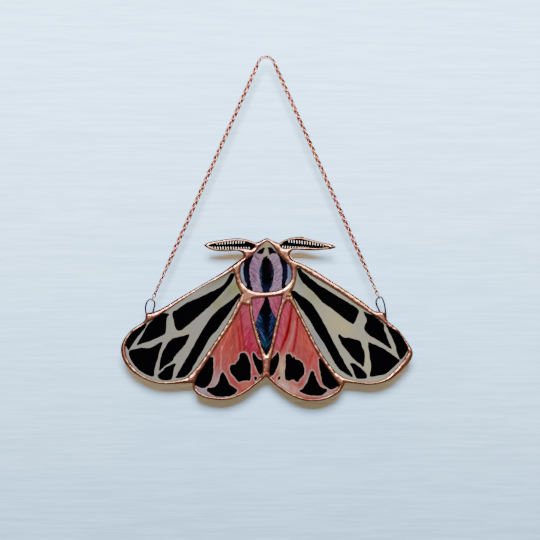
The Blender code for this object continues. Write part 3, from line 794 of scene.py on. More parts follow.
def patina_group() -> bpy.types.NodeTree:
    """Copper patina: golden to pink Bright, clouds of Dark, an edge darkening that is partly grime
    and partly painted shade, and a rippled Height.

    Returns:
        The group.
    """
    shader, given, result = new_group(
        Effect.PATINA,
        {"Vector": "Vector", "Bright": "Color", "Dark": "Color", "Clouds": "Float",
         "GrimeAndPaintedShade": "Float"},
        {"Color": "Color", "Roughness": "Float", "Height": "Float"},
    )
    vector = given.outputs["Vector"]
    broad = shader.noise(vector, scale=300)
    fine = shader.noise(vector, scale=700, detail=1.0)
    cloud = shader.maths("MULTIPLY", shader.ramp(broad, 0.42, 0.72), given.outputs["Clouds"])
    # Edge darkening broken up by fine noise: partly dirt, partly painted shade and dark reflection.
    dirt_and_painted_shade = shader.maths("MULTIPLY", given.outputs["GrimeAndPaintedShade"], shader.ramp(fine, 0.2, 0.6, 0.65, 1.0))
    pinker = shader.mix(1.0, given.outputs["Bright"], PINK_TINGE, "MULTIPLY")
    tinge = shader.ramp(shader.noise(vector, scale=90, detail=1.0), 0.42, 0.6)
    colour = shader.mix(cloud, shader.mix(tinge, given.outputs["Bright"], pinker),
                        given.outputs["Dark"])
    # Painted shade and dirt: the edges are mixed towards the dark colour.
    colour = shader.mix(dirt_and_painted_shade, colour, GRIME_AND_PAINTED_SHADE)
    shader.feed(result.inputs["Color"], colour)
    rough = shader.ramp(fine, 0.3, 0.7, to_low=0.17, to_high=0.24)
    rough = shader.maths("ADD", rough, shader.maths("MULTIPLY", dirt_and_painted_shade, 0.25))
    shader.feed(result.inputs["Roughness"], rough)
    shader.feed(result.inputs["Height"], broad)
    return shader.tree


def brushed_group() -> bpy.types.NodeTree:
    """Brush marks: Color made lighter and darker by Depth in streaks along the vector's x.

    Returns:
        The group.
    """
    shader, given, result = new_group(
        Effect.BRUSHED,
        {"Vector": "Vector", "Color": "Color", "Depth": "Float"},
        {"Color": "Color"},
    )
    stretched = shader.add("Mapping", {"Vector": given.outputs["Vector"]})
    stretched.inputs["Scale"].default_value = (0.14, 1.0, 1.0)
    marks = shader.noise(stretched.outputs[0], scale=1100, detail=3.0, roughness=0.62)
    blots = shader.noise(given.outputs["Vector"], scale=330, detail=3.0, roughness=0.6)
    both = shader.maths("ADD", shader.maths("MULTIPLY", marks, 0.65),
                        shader.maths("MULTIPLY", blots, 0.35))
    tone = shader.ramp(both, 0.33, 0.67, to_low=-1.0, to_high=1.0, smooth=False)
    gain = shader.maths("ADD", shader.maths("MULTIPLY", tone, given.outputs["Depth"]), 1.0)
    grey = shader.add("CombineColor", {0: gain, 1: gain, 2: gain})
    shader.feed(result.inputs["Color"],
                shader.mix(1.0, given.outputs["Color"], grey.outputs[0], "MULTIPLY"))
    return shader.tree


def hand_edge_group() -> bpy.types.NodeTree:
    """A painted edge: the Distance in mm, made to wander, as a mask that is 1 in the paint.

    Returns:
        The group.
    """
    shader, given, result = new_group(
        Effect.HAND_EDGE,
        {"Vector": "Vector", "Distance": "Float", "Wander": "Float", "Feather": "Float"},
        {"Mask": "Float"},
    )
    vector = given.outputs["Vector"]
    slow = shader.maths("SUBTRACT", shader.noise(vector, scale=420, detail=1.0), 0.5)
    quick = shader.maths("SUBTRACT", shader.noise(vector, scale=2400), 0.5)
    moved = shader.maths("ADD", given.outputs["Distance"],
                         shader.maths("MULTIPLY", slow, given.outputs["Wander"]))
    moved = shader.maths("ADD", moved,
                         shader.maths("MULTIPLY", quick, given.outputs["Feather"]))
    shader.feed(result.inputs["Mask"], shader.ramp(moved, -0.06, 0.10))
    return shader.tree


GROUP_MAKERS = {
    Effect.PATINA: patina_group,
    Effect.BRUSHED: brushed_group,
    Effect.HAND_EDGE: hand_edge_group,
}


def effect_node(shader: Shader, effect: Effect, inputs: dict) -> bpy.types.Node:
    """A node of a shared effect, whose group is built the first time it is asked for.

    Args:
        shader: where the node goes.
        effect: which effect it is.
        inputs: what goes into its sockets, by name.

    Returns:
        The node.
    """
    tree = bpy.data.node_groups.get(effect.value) or GROUP_MAKERS[effect]()
    node = shader.tree.nodes.new("ShaderNodeGroup")
    node.node_tree = tree
    for key, value in inputs.items():
        shader.feed(node.inputs[key], value)
    return node


def new_material(name: str) -> tuple[bpy.types.Material, Shader, bpy.types.Node, bpy.types.Node]:
    """A new material with its first nodes.

    Args:
        name: its name.

    Returns:
        The material, its shader, its Principled BSDF and its Texture Coordinate node.
    """
    material = bpy.data.materials.new(name)
    material.use_nodes = True
    shader = Shader(material.node_tree)
    return material, shader, material.node_tree.nodes["Principled BSDF"], shader.add("TexCoord")


@dataclass(frozen=True)
class MetalFinish:
    """Copper-coloured metal.

    Attributes:
        name: the material's name.
        bright, dark: its clean and its browned colour.
        clouds: how much of it is browned, from 0 to 1.
        ripple: height of its fine ripples in metres.
        edge: name of the attribute with the distance in mm from the nearest edge, if it has one.
        swell: how much rounder than its mesh a run of solder looks, in metres.
        grime_and_painted_shade, grime_and_shade_reach: how dark the edge is made, partly dirt and
        partly painted shade, and how many mm it reaches.
        shoulder, roundness: mm over which the swell rises, and the power of its curve.
    """

    name: str
    bright: Colour
    dark: Colour
    clouds: float
    ripple: float
    edge: str = ""
    swell: float = 0.45 * MM
    grime_and_painted_shade: float = 0.92
    grime_and_shade_reach: float = 0.55
    shoulder: float = 1.8
    roundness: float = 0.6

    def material(self) -> bpy.types.Material:
        """Builds the material.

        Returns:
            The material.
        """
        material, shader, principled, coordinates = new_material(self.name)
        inputs = {"Vector": coordinates.outputs["Object"], "Bright": self.bright,
                  "Dark": self.dark, "Clouds": self.clouds, "GrimeAndPaintedShade": 0.0}
        if self.edge:
            distance = shader.add("Attribute", attribute_name=self.edge).outputs["Fac"]
            # The solder is darkened near its edges, partly as dirt and partly as painted shade and
            # dark reflection.
            inputs["GrimeAndPaintedShade"] = shader.ramp(distance, 0.05, self.grime_and_shade_reach, self.grime_and_painted_shade, 0.0)
        patina = effect_node(shader, Effect.PATINA, inputs)
        bump = shader.add("Bump", {"Height": patina.outputs["Height"], "Distance": self.ripple,
                                   "Strength": 1.0})
        if self.edge:
            rise = shader.maths("POWER", shader.ramp(distance, 0.0, self.shoulder, smooth=False),
                                self.roundness)
            round_off = shader.add("Bump", {"Height": rise, "Distance": self.swell,
                                            "Strength": 1.0})
            shader.feed(bump.inputs["Normal"], round_off.outputs[0])
        shader.feed(principled.inputs["Base Color"], patina.outputs["Color"])
        shader.feed(principled.inputs["Roughness"], patina.outputs["Roughness"])
        shader.feed(principled.inputs["Normal"], bump.outputs[0])
        principled.inputs["Metallic"].default_value = 1.0
        return material


@dataclass(frozen=True)
class GlassFinish:
    """Painted glass: a brushed tint, with fired paint laid over it.

    Attributes:
        name: the material's name.
        grain: degrees from +X to the brush marks, turning up.
        depth: how far the marks lighten and darken the tint.
        wander, feather: how far the paint's edge wanders slowly and is frayed, in mm.
        sheen, paint_sheen: roughness of the bare glass and of the fired paint.
        waviness: height of the slow waves of its face, in metres.
        mirror: how strongly it reflects.
    """

    name: str
    grain: float
    depth: float
    wander: float = 0.5
    feather: float = 0.15
    sheen: float = 0.14
    paint_sheen: float = 0.22
    waviness: float = 0.08 * MM
    mirror: float = 0.03

    def material(self) -> bpy.types.Material:
        """Builds the material.

        Returns:
            The material.
        """
        material, shader, principled, coordinates = new_material(self.name)
        place = coordinates.outputs["Object"]
        turned = shader.add("Mapping", {"Vector": place}, vector_type="TEXTURE")
        turned.inputs["Rotation"].default_value = (0.0, -math.radians(self.grain), 0.0)
        tint = shader.add("Attribute", attribute_name="tint").outputs["Color"]
        ink = shader.add("Attribute", attribute_name="ink_tint").outputs["Color"]
        distance = shader.add("Attribute", attribute_name="ink").outputs["Fac"]
        brushed = effect_node(shader, Effect.BRUSHED, {"Vector": turned.outputs[0], "Color": tint,
                                                       "Depth": self.depth})
        mask = effect_node(shader, Effect.HAND_EDGE, {
            "Vector": turned.outputs[0], "Distance": distance, "Wander": self.wander,
            "Feather": self.feather}).outputs["Mask"]
        colour = shader.mix(mask, brushed.outputs["Color"], ink)
        wave = shader.noise(place, scale=90, roughness=0.4)
        height = shader.maths("ADD", wave, shader.maths("MULTIPLY", mask, 0.05))
        bump = shader.add("Bump", {"Height": height, "Distance": self.waviness, "Strength": 1.0})
        shader.feed(principled.inputs["Base Color"], colour)
        shader.feed(principled.inputs["Roughness"],
                    shader.ramp(mask, 0.0, 1.0, self.sheen, self.paint_sheen, smooth=False))
        shader.feed(principled.inputs["Normal"], bump.outputs[0])
        principled.inputs["Specular IOR Level"].default_value = self.mirror
        return material


@dataclass(frozen=True)
class Wash:
    """A soft patch of colour, exp(-(u / across)^2 - (v / along)^2) times its strength.

    Attributes:
        centre: its middle on the pattern.
        across, along: its half-widths in pattern units; along is the axis that turn gives.
        turn: degrees from straight up to its long axis, leaning to the right.
        colour: its colour.
        strength: its share at the middle.
    """

    centre: Point
    across: float
    along: float
    turn: float
    colour: Colour
    strength: float = 1.0

    def share(self, grid: Grid) -> np.ndarray:
        """Its share of the colour.

        Args:
            grid: the pane's grid.

        Returns:
            The share at every corner.
        """
        x, z = grid.places()
        middle = on_panel(self.centre)
        lean = math.radians(self.turn)
        right, up = (x - middle[0]) / UNIT, (z - middle[1]) / UNIT
        v = right * math.sin(lean) + up * math.cos(lean)
        u = right * math.cos(lean) - up * math.sin(lean)
        return self.strength * np.exp(-((u / self.across) ** 2) - (v / self.along) ** 2)


@dataclass(frozen=True)
class Stroke:
    """A brush stroke along pattern points, fading over its soft edge.

    Attributes:
        points: its line on the pattern.
        width: its width in pattern units.
        colour: its colour.
        soft: width of its fading edge in pattern units.
        strength: its share along the line.
    """

    points: tuple[Point, ...]
    width: float
    colour: Colour
    soft: float = 1.0
    strength: float = 1.0

    def share(self, grid: Grid) -> np.ndarray:
        """Its share of the colour.

        Args:
            grid: the pane's grid.

        Returns:
            The share at every corner.
        """
        line = smooth_run(list(self.points), steps=4)
        distance = grid.nearness(line, (self.width + self.soft) * UNIT, closed=False) / UNIT
        return self.strength * ease((self.width / 2 + self.soft / 2 - distance) / self.soft)


@dataclass(frozen=True)
class Paint:
    """What is painted on one pane.

    Attributes:
        ground: colour of the glass.
        marks: washes and strokes on the glass, in order.
        ink: colour of the fired paint.
        ink_marks: washes and strokes on the fired paint, in order.
        inked: True if the fired paint covers all but the pale patches.
        halo: colour of the pale rim round the fired patches, if they have one.
        HALO_WIDTH, HALO_FADE: mm that the rim reaches, and over which it fades.
        HALO_SHARE: its share of the colour.
        REACH: metres from the patches' edges within which their distance is known.
    """

    ground: Colour
    marks: tuple[Wash | Stroke, ...] = ()
    ink: Colour = (0.0002, 0.0002, 0.0003)
    ink_marks: tuple[Wash | Stroke, ...] = ()
    inked: bool = False
    halo: Colour | None = None
    HALO_WIDTH: ClassVar[float] = 1.15
    HALO_FADE: ClassVar[float] = 0.9
    HALO_SHARE: ClassVar[float] = 0.75
    REACH: ClassVar[float] = 3 * MM

    @staticmethod
    def laid(ground: Colour, marks: tuple[Wash | Stroke, ...], grid: Grid) -> np.ndarray:
        """The ground with the marks laid on it one after another.

        Args:
            ground: the colour under them.
            marks: the washes and strokes, in order.
            grid: the pane's grid.

        Returns:
            A colour per corner.
        """
        colour = np.broadcast_to(np.array(ground), (*grid.shape, 3)).copy()
        for mark in marks:
            share = mark.share(grid)[..., None]
            colour = colour * (1 - share) + np.array(mark.colour) * share
        return colour

    def tint(self, depth: np.ndarray, grid: Grid) -> np.ndarray:
        """The glass's colour, with the halo where the depth is just below 0.

        Args:
            depth: distance in mm inwards from the edge of the fired paint.
            grid: the pane's grid.

        Returns:
            A colour per corner.
        """
        colour = self.laid(self.ground, self.marks, grid)
        if self.halo:
            edge = (depth + self.HALO_WIDTH) / self.HALO_FADE
            share = self.HALO_SHARE * ease(edge)[..., None]
            colour = colour * (1 - share) + np.array(self.halo) * share
        return colour

    def ink_depth(self, name: str, grid: Grid) -> np.ndarray:
        """Distance inwards from the edge of the fired paint.

        Args:
            name: the pane's name.
            grid: its grid.

        Returns:
            The distance in mm at every corner.
        """
        depth = np.full(grid.shape, -self.REACH)
        if self.inked:
            pale = [grid.depth(smooth_run(patch, closed=True), self.REACH)
                    for patch in PALE_PATCHES.get(name, [])]
            depth = -np.max(pale, axis=0) if pale else -depth
        for patch in BLACK_PATCHES.get(name, []):
            edge = smooth_run(patch, steps=4, closed=True)
            depth = np.maximum(depth, grid.depth(edge, self.REACH))
        return depth / MM


GREY_GLASS = paint(153, 150, 144)
LIME_GLASS = paint(146, 142, 88)
CREAM_GLASS = paint(172, 162, 138)
LILAC_GLASS = paint(140, 138, 152)
NAVY_PAINT = paint(10, 20, 52)
BLACK_PAINT = (0.0003, 0.0003, 0.0005)
WHITE_PAINT = paint(230, 227, 224)

# Pitch, width and colour of the combs on the antennae, and the soft edge of a tooth.
ANTENNA_COMB = (2.5, 0.4, WHITE_PAINT)
TOOTH_SOFT = 0.3

# Width, soft edge and share of a painted hair, and how many degrees hairs stray from their turn.
HAIR_WIDTH, HAIR_SOFT, HAIR_SHARE = 0.45, 0.5, 0.6
HAIR_STRAY = 12


def comb(first: Point, last: Point, reach: Point, pitch: float, width: float,
         colour: Colour) -> tuple[Stroke, ...]:
    """Comb teeth: short strokes side by side.

    Args:
        first, last: pattern points where the first and the last tooth start.
        reach: the step from a tooth's root to its tip.
        pitch, width: distance between teeth and their width, in pattern units.
        colour: their colour.

    Returns:
        The strokes.
    """
    start, end, reach = np.array(first), np.array(last), np.array(reach)
    count = int(np.linalg.norm(end - start) / pitch)
    teeth = []
    for step in range(count + 1):
        root = start + (end - start) * step / count
        teeth.append(Stroke((tuple(root), tuple(root + reach)), width, colour, TOOTH_SOFT))
    return tuple(teeth)


def hairs(line: tuple[Point, ...], spread: float, length: float, turn: float,
          colours: tuple[Colour, ...], count: int, seed: int) -> tuple[Stroke, ...]:
    """Short fine strokes scattered along a band.

    Args:
        line: the middle of the band on the pattern.
        spread: half the band's width in pattern units.
        length: mean length of a hair in pattern units.
        turn: degrees from straight up to the hairs, leaning to the right.
        colours: the colours, taken in turn.
        count: number of hairs.
        seed: seed of their places and lengths.

    Returns:
        The strokes.
    """
    rng = np.random.default_rng(seed)
    knots = np.array(line)
    place = np.linspace(0, len(knots) - 1, count)
    middles = np.stack([np.interp(place, np.arange(len(knots)), knots[:, i]) for i in range(2)],
                       axis=1)
    middles += rng.uniform(-1, 1, (count, 2)) * (spread, 1.0)
    lean = np.radians(turn + rng.normal(0, HAIR_STRAY, count))
    half = length * rng.uniform(0.35, 0.65, count)
    step = half[:, None] * np.stack([np.sin(lean), -np.cos(lean)], axis=1)
    return tuple(
        Stroke((tuple(middle - part), tuple(middle + part)), HAIR_WIDTH,
               colours[i % len(colours)], HAIR_SOFT, HAIR_SHARE)
        for i, (middle, part) in enumerate(zip(middles, step))
    )


MAUVE_HAIRS = (paint(188, 162, 184), paint(62, 32, 60), paint(158, 160, 180), paint(88, 58, 86))
ROSE_HAIRS = (paint(192, 112, 138), paint(118, 18, 44), paint(180, 70, 98))
CORAL_HAIRS = (paint(190, 116, 96), paint(152, 30, 32), paint(176, 70, 64))
BLUE_HAIRS = (paint(84, 112, 152), paint(20, 44, 92), paint(58, 84, 128))

PAINTS: dict[str, Paint] = {
    "left_forewing": Paint(GREY_GLASS, (
        Wash((236, 288), 6, 9, 30, LIME_GLASS, 0.9),
        Wash((229, 292), 4, 9, 35, paint(130, 127, 100), 0.75),
        Wash((218, 304), 5, 8, 40, paint(142, 136, 100), 0.8),
        Wash((221, 279), 3, 16, 60, paint(120, 120, 84), 0.7),
        Wash((183, 333), 9, 7, 40, paint(160, 152, 136), 0.7),
    )),
    "right_forewing": Paint(paint(160, 156, 146), (
        Wash((337, 322), 12, 16, -40, CREAM_GLASS, 0.9),
        Wash((345, 328), 6, 8, -40, paint(180, 168, 132), 0.6),
        Wash((300, 282), 3, 8, -30, paint(134, 131, 127), 0.8),
        Wash((312, 295), 6, 10, -40, paint(150, 146, 104), 0.6),
        Wash((366, 360), 8, 22, -20, paint(174, 168, 146), 0.6),
        Wash((318, 340), 2.6, 16, -32, LILAC_GLASS, 0.85),
    )),
    "left_hindwing": Paint(paint(168, 76, 72), (
        Wash((226, 345), 9, 24, 20, paint(178, 82, 72), 0.9),
        Wash((219, 366), 6, 14, 10, paint(164, 98, 98), 0.9),
        Wash((248, 318), 6, 18, -10, paint(172, 84, 96), 0.95),
        Wash((250, 343), 5, 19, -14, paint(182, 54, 78), 0.95),
        Wash((258, 357), 4, 10, -15, paint(160, 24, 44), 0.9),
        Stroke(((240.5, 312), (241.5, 325), (243, 338), (244.5, 350)), 1.6, paint(150, 14, 34),
               2.4, 0.85),
        Stroke(((238.6, 326), (239.6, 340), (240.4, 353)), 2.2, paint(176, 30, 36), 2.6, 0.85),
        Stroke(((233, 330), (234, 342), (236, 352)), 1.2, paint(166, 44, 40), 2.4, 0.6),
        Stroke(((246, 346), (250, 354), (254, 366)), 1.6, paint(158, 18, 36), 1.2, 0.7),
        Stroke(((237, 320), (229, 337), (222, 352), (218, 362)), 1.4, paint(190, 64, 54), 1.4, 0.6),
        Stroke(((232, 326), (225, 342), (220, 356)), 1.2, paint(196, 120, 96), 1.2, 0.6),
        Stroke(((222, 346), (221, 358), (221, 370)), 1.0, paint(198, 150, 132), 1.0, 0.6),
        *hairs(((234, 322), (226, 345), (218, 372)), 9, 7, 12, CORAL_HAIRS, 70, 1),
        *hairs(((246, 310), (249, 332), (256, 356)), 5, 5, 40, ROSE_HAIRS, 60, 2),
        Wash((204, 391), 12, 5, 0, paint(148, 147, 160), 0.95),
        Wash((216, 381), 5, 9, 30, paint(158, 142, 146), 0.9),
        Wash((232, 396), 14, 3, 0, paint(160, 134, 132), 0.8),
        Wash((247, 386), 6, 5, 0, paint(180, 108, 92), 0.95),
    ), halo=paint(168, 148, 144)),
    "right_hindwing": Paint(paint(172, 82, 78), (
        Wash((284, 312), 5, 13, 8, paint(184, 82, 98), 0.9),
        Wash((280, 334), 4.5, 20, 10, paint(182, 76, 94), 0.95),
        Wash((307, 343), 7, 18, -28, paint(188, 92, 82), 0.9),
        Wash((322, 352), 5, 12, -30, paint(176, 86, 88), 0.8),
        Stroke(((294.5, 322), (292.5, 334), (288, 348), (283, 360), (281, 370)), 2.6,
               paint(174, 116, 116), 2.6, 0.75),
        Stroke(((291.5, 306), (290.5, 316), (288, 328), (284.5, 340), (280, 352), (277, 362)), 2.4,
               paint(156, 8, 26), 2.4, 1.0),
        Stroke(((290, 318), (288.6, 330), (286, 340)), 1.6, paint(150, 6, 22), 1.6, 0.9),
        Stroke(((297.5, 318), (296.8, 330), (295, 342), (293, 351)), 2.0, paint(162, 20, 34),
               2.4, 0.95),
        Stroke(((303, 324), (308, 340), (314, 356)), 1.2, paint(196, 122, 96), 1.2, 0.6),
        Stroke(((300, 322), (303, 336), (306, 352)), 1.4, paint(178, 52, 48), 1.2, 0.5),
        Stroke(((313, 352), (310, 362), (308, 372)), 2.2, paint(176, 50, 46), 1.4, 0.7),
        *hairs(((300, 325), (308, 345), (317, 362)), 6, 7, -24, CORAL_HAIRS, 60, 3),
        *hairs(((286, 306), (280, 330), (276, 352)), 4, 5, -35, ROSE_HAIRS, 50, 4),
        Wash((282, 370), 3, 12, -4, paint(174, 162, 136), 0.95),
        Wash((286, 387), 13, 5, 24, paint(184, 162, 154), 0.95),
        Wash((273, 379), 3, 3, 0, paint(186, 92, 84), 0.9),
        Wash((291, 388), 3, 4, 0, paint(182, 116, 104), 0.8),
        Wash((308, 378), 3, 9, 12, paint(162, 126, 128), 0.9),
        Wash((326, 393), 12, 3.5, 0, paint(160, 144, 142), 0.9),
    ), halo=paint(170, 150, 142)),
    "thorax": Paint(paint(148, 130, 142), (
        Wash((266, 247), 12, 9, 0, paint(158, 148, 126), 1.0),
        Wash((255, 272), 6, 22, 0, paint(136, 98, 124), 1.0),
        Wash((277, 272), 6, 22, 0, paint(138, 118, 138), 1.0),
        Wash((258, 284), 4, 8, 0, paint(138, 126, 144), 0.6),
        Wash((241, 274), 3, 14, 0, paint(134, 152, 166), 1.0),
        Wash((290, 274), 3, 14, 0, paint(96, 118, 146), 1.0),
        *hairs(((256, 256), (253.5, 272), (257, 290)), 4.5, 4.5, -50, MAUVE_HAIRS, 80, 5),
        *hairs(((273.5, 256), (278.5, 272), (276, 290)), 4.5, 4.5, 50, MAUVE_HAIRS, 80, 6),
    ), ink=BLACK_PAINT, ink_marks=(
        Wash((246, 280), 2.2, 9, 0, NAVY_PAINT, 0.9),
        Wash((286, 276), 2.5, 12, 0, NAVY_PAINT, 0.9),
        Wash((260.6, 278), 1.0, 12, 0, paint(34, 48, 84), 0.6),
        Wash((266, 289), 5, 4, 0, paint(14, 22, 56), 0.9),
        Wash((271, 266), 2, 6, 0, paint(34, 10, 28), 0.8),
        *hairs(((261, 262), (260.5, 275), (262, 289)), 1.0, 2.2, -50, BLUE_HAIRS, 22, 7),
        *hairs(((272.5, 262), (273, 275), (270.5, 289)), 0.8, 2.0, 50, BLUE_HAIRS, 12, 8),
    ), inked=True),
    "abdomen": Paint(paint(164, 98, 116), (
        Wash((257, 303), 5, 10, 0, paint(158, 92, 116), 0.9),
        Wash((279, 305), 6, 12, 0, paint(158, 76, 90), 0.9),
        *hairs(((258, 298), (256.5, 308), (254, 320)), 4.5, 4.0, 35, ROSE_HAIRS, 70, 9),
        *hairs(((275, 298), (276.5, 308), (279, 320)), 4.5, 4.0, -35, ROSE_HAIRS, 60, 10),
    ), ink=BLACK_PAINT, ink_marks=(
        Wash((259, 325), 4.0, 13, -14, paint(14, 28, 66), 0.95),
        Wash((273.5, 320), 3.2, 12, 12, paint(14, 28, 68), 0.95),
        Wash((265, 343), 3.4, 5, 0, paint(18, 56, 76), 0.8),
        *hairs(((258, 312), (258.5, 324), (263, 345)), 3.2, 5.0, -38, BLUE_HAIRS, 44, 11),
        *hairs(((274, 310), (273.5, 324), (268, 345)), 3.0, 4.0, 38, BLUE_HAIRS, 34, 12),
        *comb((258.6, 329), (261.4, 336.0), (4.2, 4.6), 3.2, 0.25, paint(122, 146, 186)),
    ), inked=True),
    "left_antenna": Paint(BLACK_PAINT, (
        *comb((217.0, 244.4), (244, 242.9), (0.3, -2.7), *ANTENNA_COMB),
        *comb((212.5, 246.9), (249, 247.3), (0.4, 1.9), *ANTENNA_COMB),
    )),
    "right_antenna": Paint(BLACK_PAINT, (
        *comb((289, 242.2), (326, 246.2), (-0.2, -2.5), *ANTENNA_COMB),
        *comb((283, 246.1), (308, 247.3), (-0.5, 1.8), *ANTENNA_COMB),
    )),
}


@dataclass
class SolderNet:
    """The one net of solder: a rounded bead between every two panes, pocketed for their edges.

    Attributes:
        metal: its metal.
        spacing: the grid's cell.
        lip: height of the bead where it meets the glass.
        crown: height of the bead's crown.
        seam_shoulder, rim_shoulder: distances over which it rises from the glass and the rim.
        rim: height at the outer edge.
        inset: how far its outer edge keeps inside the outline.
        pocket_depth, pocket_half: how deep and how high half of a pane's pocket is.
        ridge, blend: how softly the two sides of a bead meet along its ridge, and its rim's rise.
        headroom: how far its top keeps below the solids' face.
        reach: how far from the outlines distances are known.
        waves: what makes the crown uneven, as share of its height, wavelengths and seed.
        mounds: blobs and, where the height is negative, dents between two runs of solder, as
            pattern point, radius in pattern units and height in metres.
    """

    metal: bpy.types.Material
    spacing: float = 0.3 * MM
    lip: float = 1.62 * MM
    crown: float = 2.32 * MM
    seam_shoulder: float = 1.5 * MM
    rim_shoulder: float = 2.1 * MM
    rim: float = 0.3 * MM
    inset: float = 0.04 * MM
    pocket_depth: float = 0.7 * MM
    pocket_half: float = 1.53 * MM
    ridge: float = 0.5 * MM
    blend: float = 0.06 * MM
    headroom: float = 0.02 * MM
    reach: float = 4 * MM
    waves: tuple[tuple[float, tuple[float, ...], int], ...] = (
        (0.075, (9 * MM, 5 * MM), 3), (0.035, (3.0 * MM,), 5),
    )
    mounds: tuple[tuple[Point, float, float], ...] = (
        ((238, 267), 5, 0.25 * MM), ((244, 289.5), 4, 0.22 * MM), ((251, 297), 4.5, 0.2 * MM),
        ((252, 311), 3, 0.2 * MM), ((265, 360), 5, 0.22 * MM), ((286, 289.5), 5, 0.22 * MM),
        ((292.5, 264), 5, 0.25 * MM), ((247, 253), 4, 0.2 * MM), ((285, 252), 4, 0.2 * MM),
        ((381, 316), 6, 0.25 * MM), ((150, 316), 5, 0.22 * MM), ((217.5, 338), 2.5, 0.2 * MM),
        ((191, 380), 4, 0.2 * MM), ((344, 380), 4, 0.2 * MM), ((248, 300), 2.0, -0.3 * MM),
        ((287.5, 297), 1.6, -0.35 * MM), ((250, 254), 1.6, -0.3 * MM),
    )

    def height(self, grid: Grid, from_rim: np.ndarray, from_glass: np.ndarray) -> np.ndarray:
        """Half the solder's thickness at every corner.

        It is the soft least of the beads that rise from the rim and from the glass,
        -k ln(exp(-a / k) + exp(-b / k)), whose crown has ripples and mounds on it, and is held
        below the top in the same way.

        Args:
            grid: the net's grid.
            from_rim, from_glass: distance of every corner from the outer edge and the panes.

        Returns:
            The height of every corner above the middle of the panel.
        """
        x, z = grid.places()
        uneven = sum(share * ripples(x, z, waves, seed) for share, waves, seed in self.waves)
        crown = self.crown * (1 + uneven)
        for centre, radius, extra in self.mounds:
            middle = on_panel(centre)
            apart = np.hypot(x - middle[0], z - middle[1]) / (radius * UNIT)
            crown = crown + extra * np.exp(-(apart**2))
        rising = bead(from_rim, self.rim, crown, self.rim_shoulder)
        seam = bead(from_glass, self.lip, crown, self.seam_shoulder)
        soft = self.blend
        least = -soft * np.logaddexp(-rising / soft, -seam / soft)
        least = np.where(from_rim <= 0, self.rim, least)
        least = np.where(from_glass <= 0, self.lip, np.maximum(least, self.rim))
        top = SOLDER_HALF - self.headroom
        return -soft * np.logaddexp(-least / soft, -top / soft)

    def build(self) -> bpy.types.Object:
        """Builds the net, with its front, back, rim and pockets as closed sheets.

        Distance from the glass is the soft least of the distances d from the panes,
        -k ln(sum of exp(-d / k)), so that the two sides of a bead meet in a round ridge.

        Returns:
            The net.
        """
        edge = outline(SILHOUETTE)
        grid = Grid.around(edge, self.spacing, 2 * self.spacing)
        from_rim = grid.depth(edge, self.reach) - self.inset
        gaps = np.stack([-grid.depth(outline(runs), self.reach) for runs in WINDOWS.values()])
        from_glass = gaps.min(axis=0)
        depth = np.minimum(from_rim, from_glass)
        cells = without_pinches(cells_of(depth) > 0)
        pocket = without_pinches(cells & (cells_of(from_glass) < self.pocket_depth), cells)
        x, z, outer = snapped(grid, cells, depth)
        at_rim, at_glass = outer & (from_rim <= from_glass), outer & (from_rim > from_glass)
        from_rim, from_glass = np.where(at_rim, 0, from_rim), np.where(at_glass, 0, from_glass)
        softly = -self.ridge * np.log(np.exp(-gaps / self.ridge).sum(axis=0))
        softly = np.clip(np.minimum(softly, from_glass), 0, None)
        height = self.height(grid, from_rim, softly)
        sheets = Sheets(x, z)
        inner = np.full(x.shape, self.pocket_half)
        front = sheets.sheet(cells, -height, forwards=True)
        back = sheets.sheet(cells, height, forwards=False)
        inner_front = sheets.sheet(pocket, -inner, forwards=False)
        inner_back = sheets.sheet(pocket, inner, forwards=True)
        sheets.wall(rim_edges(cells & ~pocket, ~cells), front, back)
        lips = rim_edges(pocket, ~cells)
        sheets.wall(lips, front, inner_front)
        sheets.wall(lips, inner_back, back)
        sheets.wall(rim_edges(cells & ~pocket, pocket), inner_front, inner_back)
        nearest = -self.ridge * np.logaddexp(-softly / self.ridge, -from_rim / self.ridge) / MM
        nearest = np.where(outer, 0, np.clip(nearest, 0, None))
        points, faces = sheets.arrays()
        net = make_piece("solder_net", points, faces, {"edge": sheets.corner_values(nearest)})
        net.data.materials.append(self.metal)
        return net


@dataclass
class Pane:
    """One piece of painted glass.

    Attributes:
        name: its name, which is the name of its window in the net.
        finish: its glass.
        slot: the record's material slot; not used.
        spacing: the grid's cell.
        edge: how far it reaches under the solder.
        swell: how far its hand-rolled face dips.
        waves, seed: wavelengths and seed of the dips.
        reach: how far from the outline distances are known.
    """

    name: str
    finish: GlassFinish
    slot: str
    spacing: float = 0.32 * MM
    edge: float = 0.4 * MM
    swell: float = 0.05 * MM
    waves: tuple[float, ...] = (22 * MM, 12 * MM)
    seed: int = 11
    reach: float = 3 * MM

    def build(self) -> bpy.types.Object:
        """Builds the pane, with its paint as colours and distances on its points.

        Its faces lie at half the glass's thickness less swell (1 + unevenness) / 2.

        Returns:
            The pane.
        """
        window = outline(WINDOWS[self.name])
        grid = Grid.around(window, self.spacing, self.edge + 2 * self.spacing)
        depth = grid.depth(window, self.reach) + self.edge
        cells = without_pinches(cells_of(depth) > 0)
        x, z, _ = snapped(grid, cells, depth)
        dip = self.swell * (1 + ripples(x, z, self.waves, self.seed)) / 2
        sheets = Sheets(x, z)
        front = sheets.sheet(cells, dip - GLASS_HALF, forwards=True)
        back = sheets.sheet(cells, GLASS_HALF - dip, forwards=False)
        sheets.wall(rim_edges(cells, ~cells), front, back)
        work = PAINTS[self.name]
        ink = work.ink_depth(self.name, grid)
        points, faces = sheets.arrays()
        pane = make_piece(
            f"{self.name}_pane", points, faces,
            {"ink": sheets.corner_values(ink)},
            {"tint": sheets.corner_values(work.tint(ink, grid)),
             "ink_tint": sheets.corner_values(work.laid(work.ink, work.ink_marks, grid))},
        )
        pane.data.materials.append(self.finish.material())
        return pane


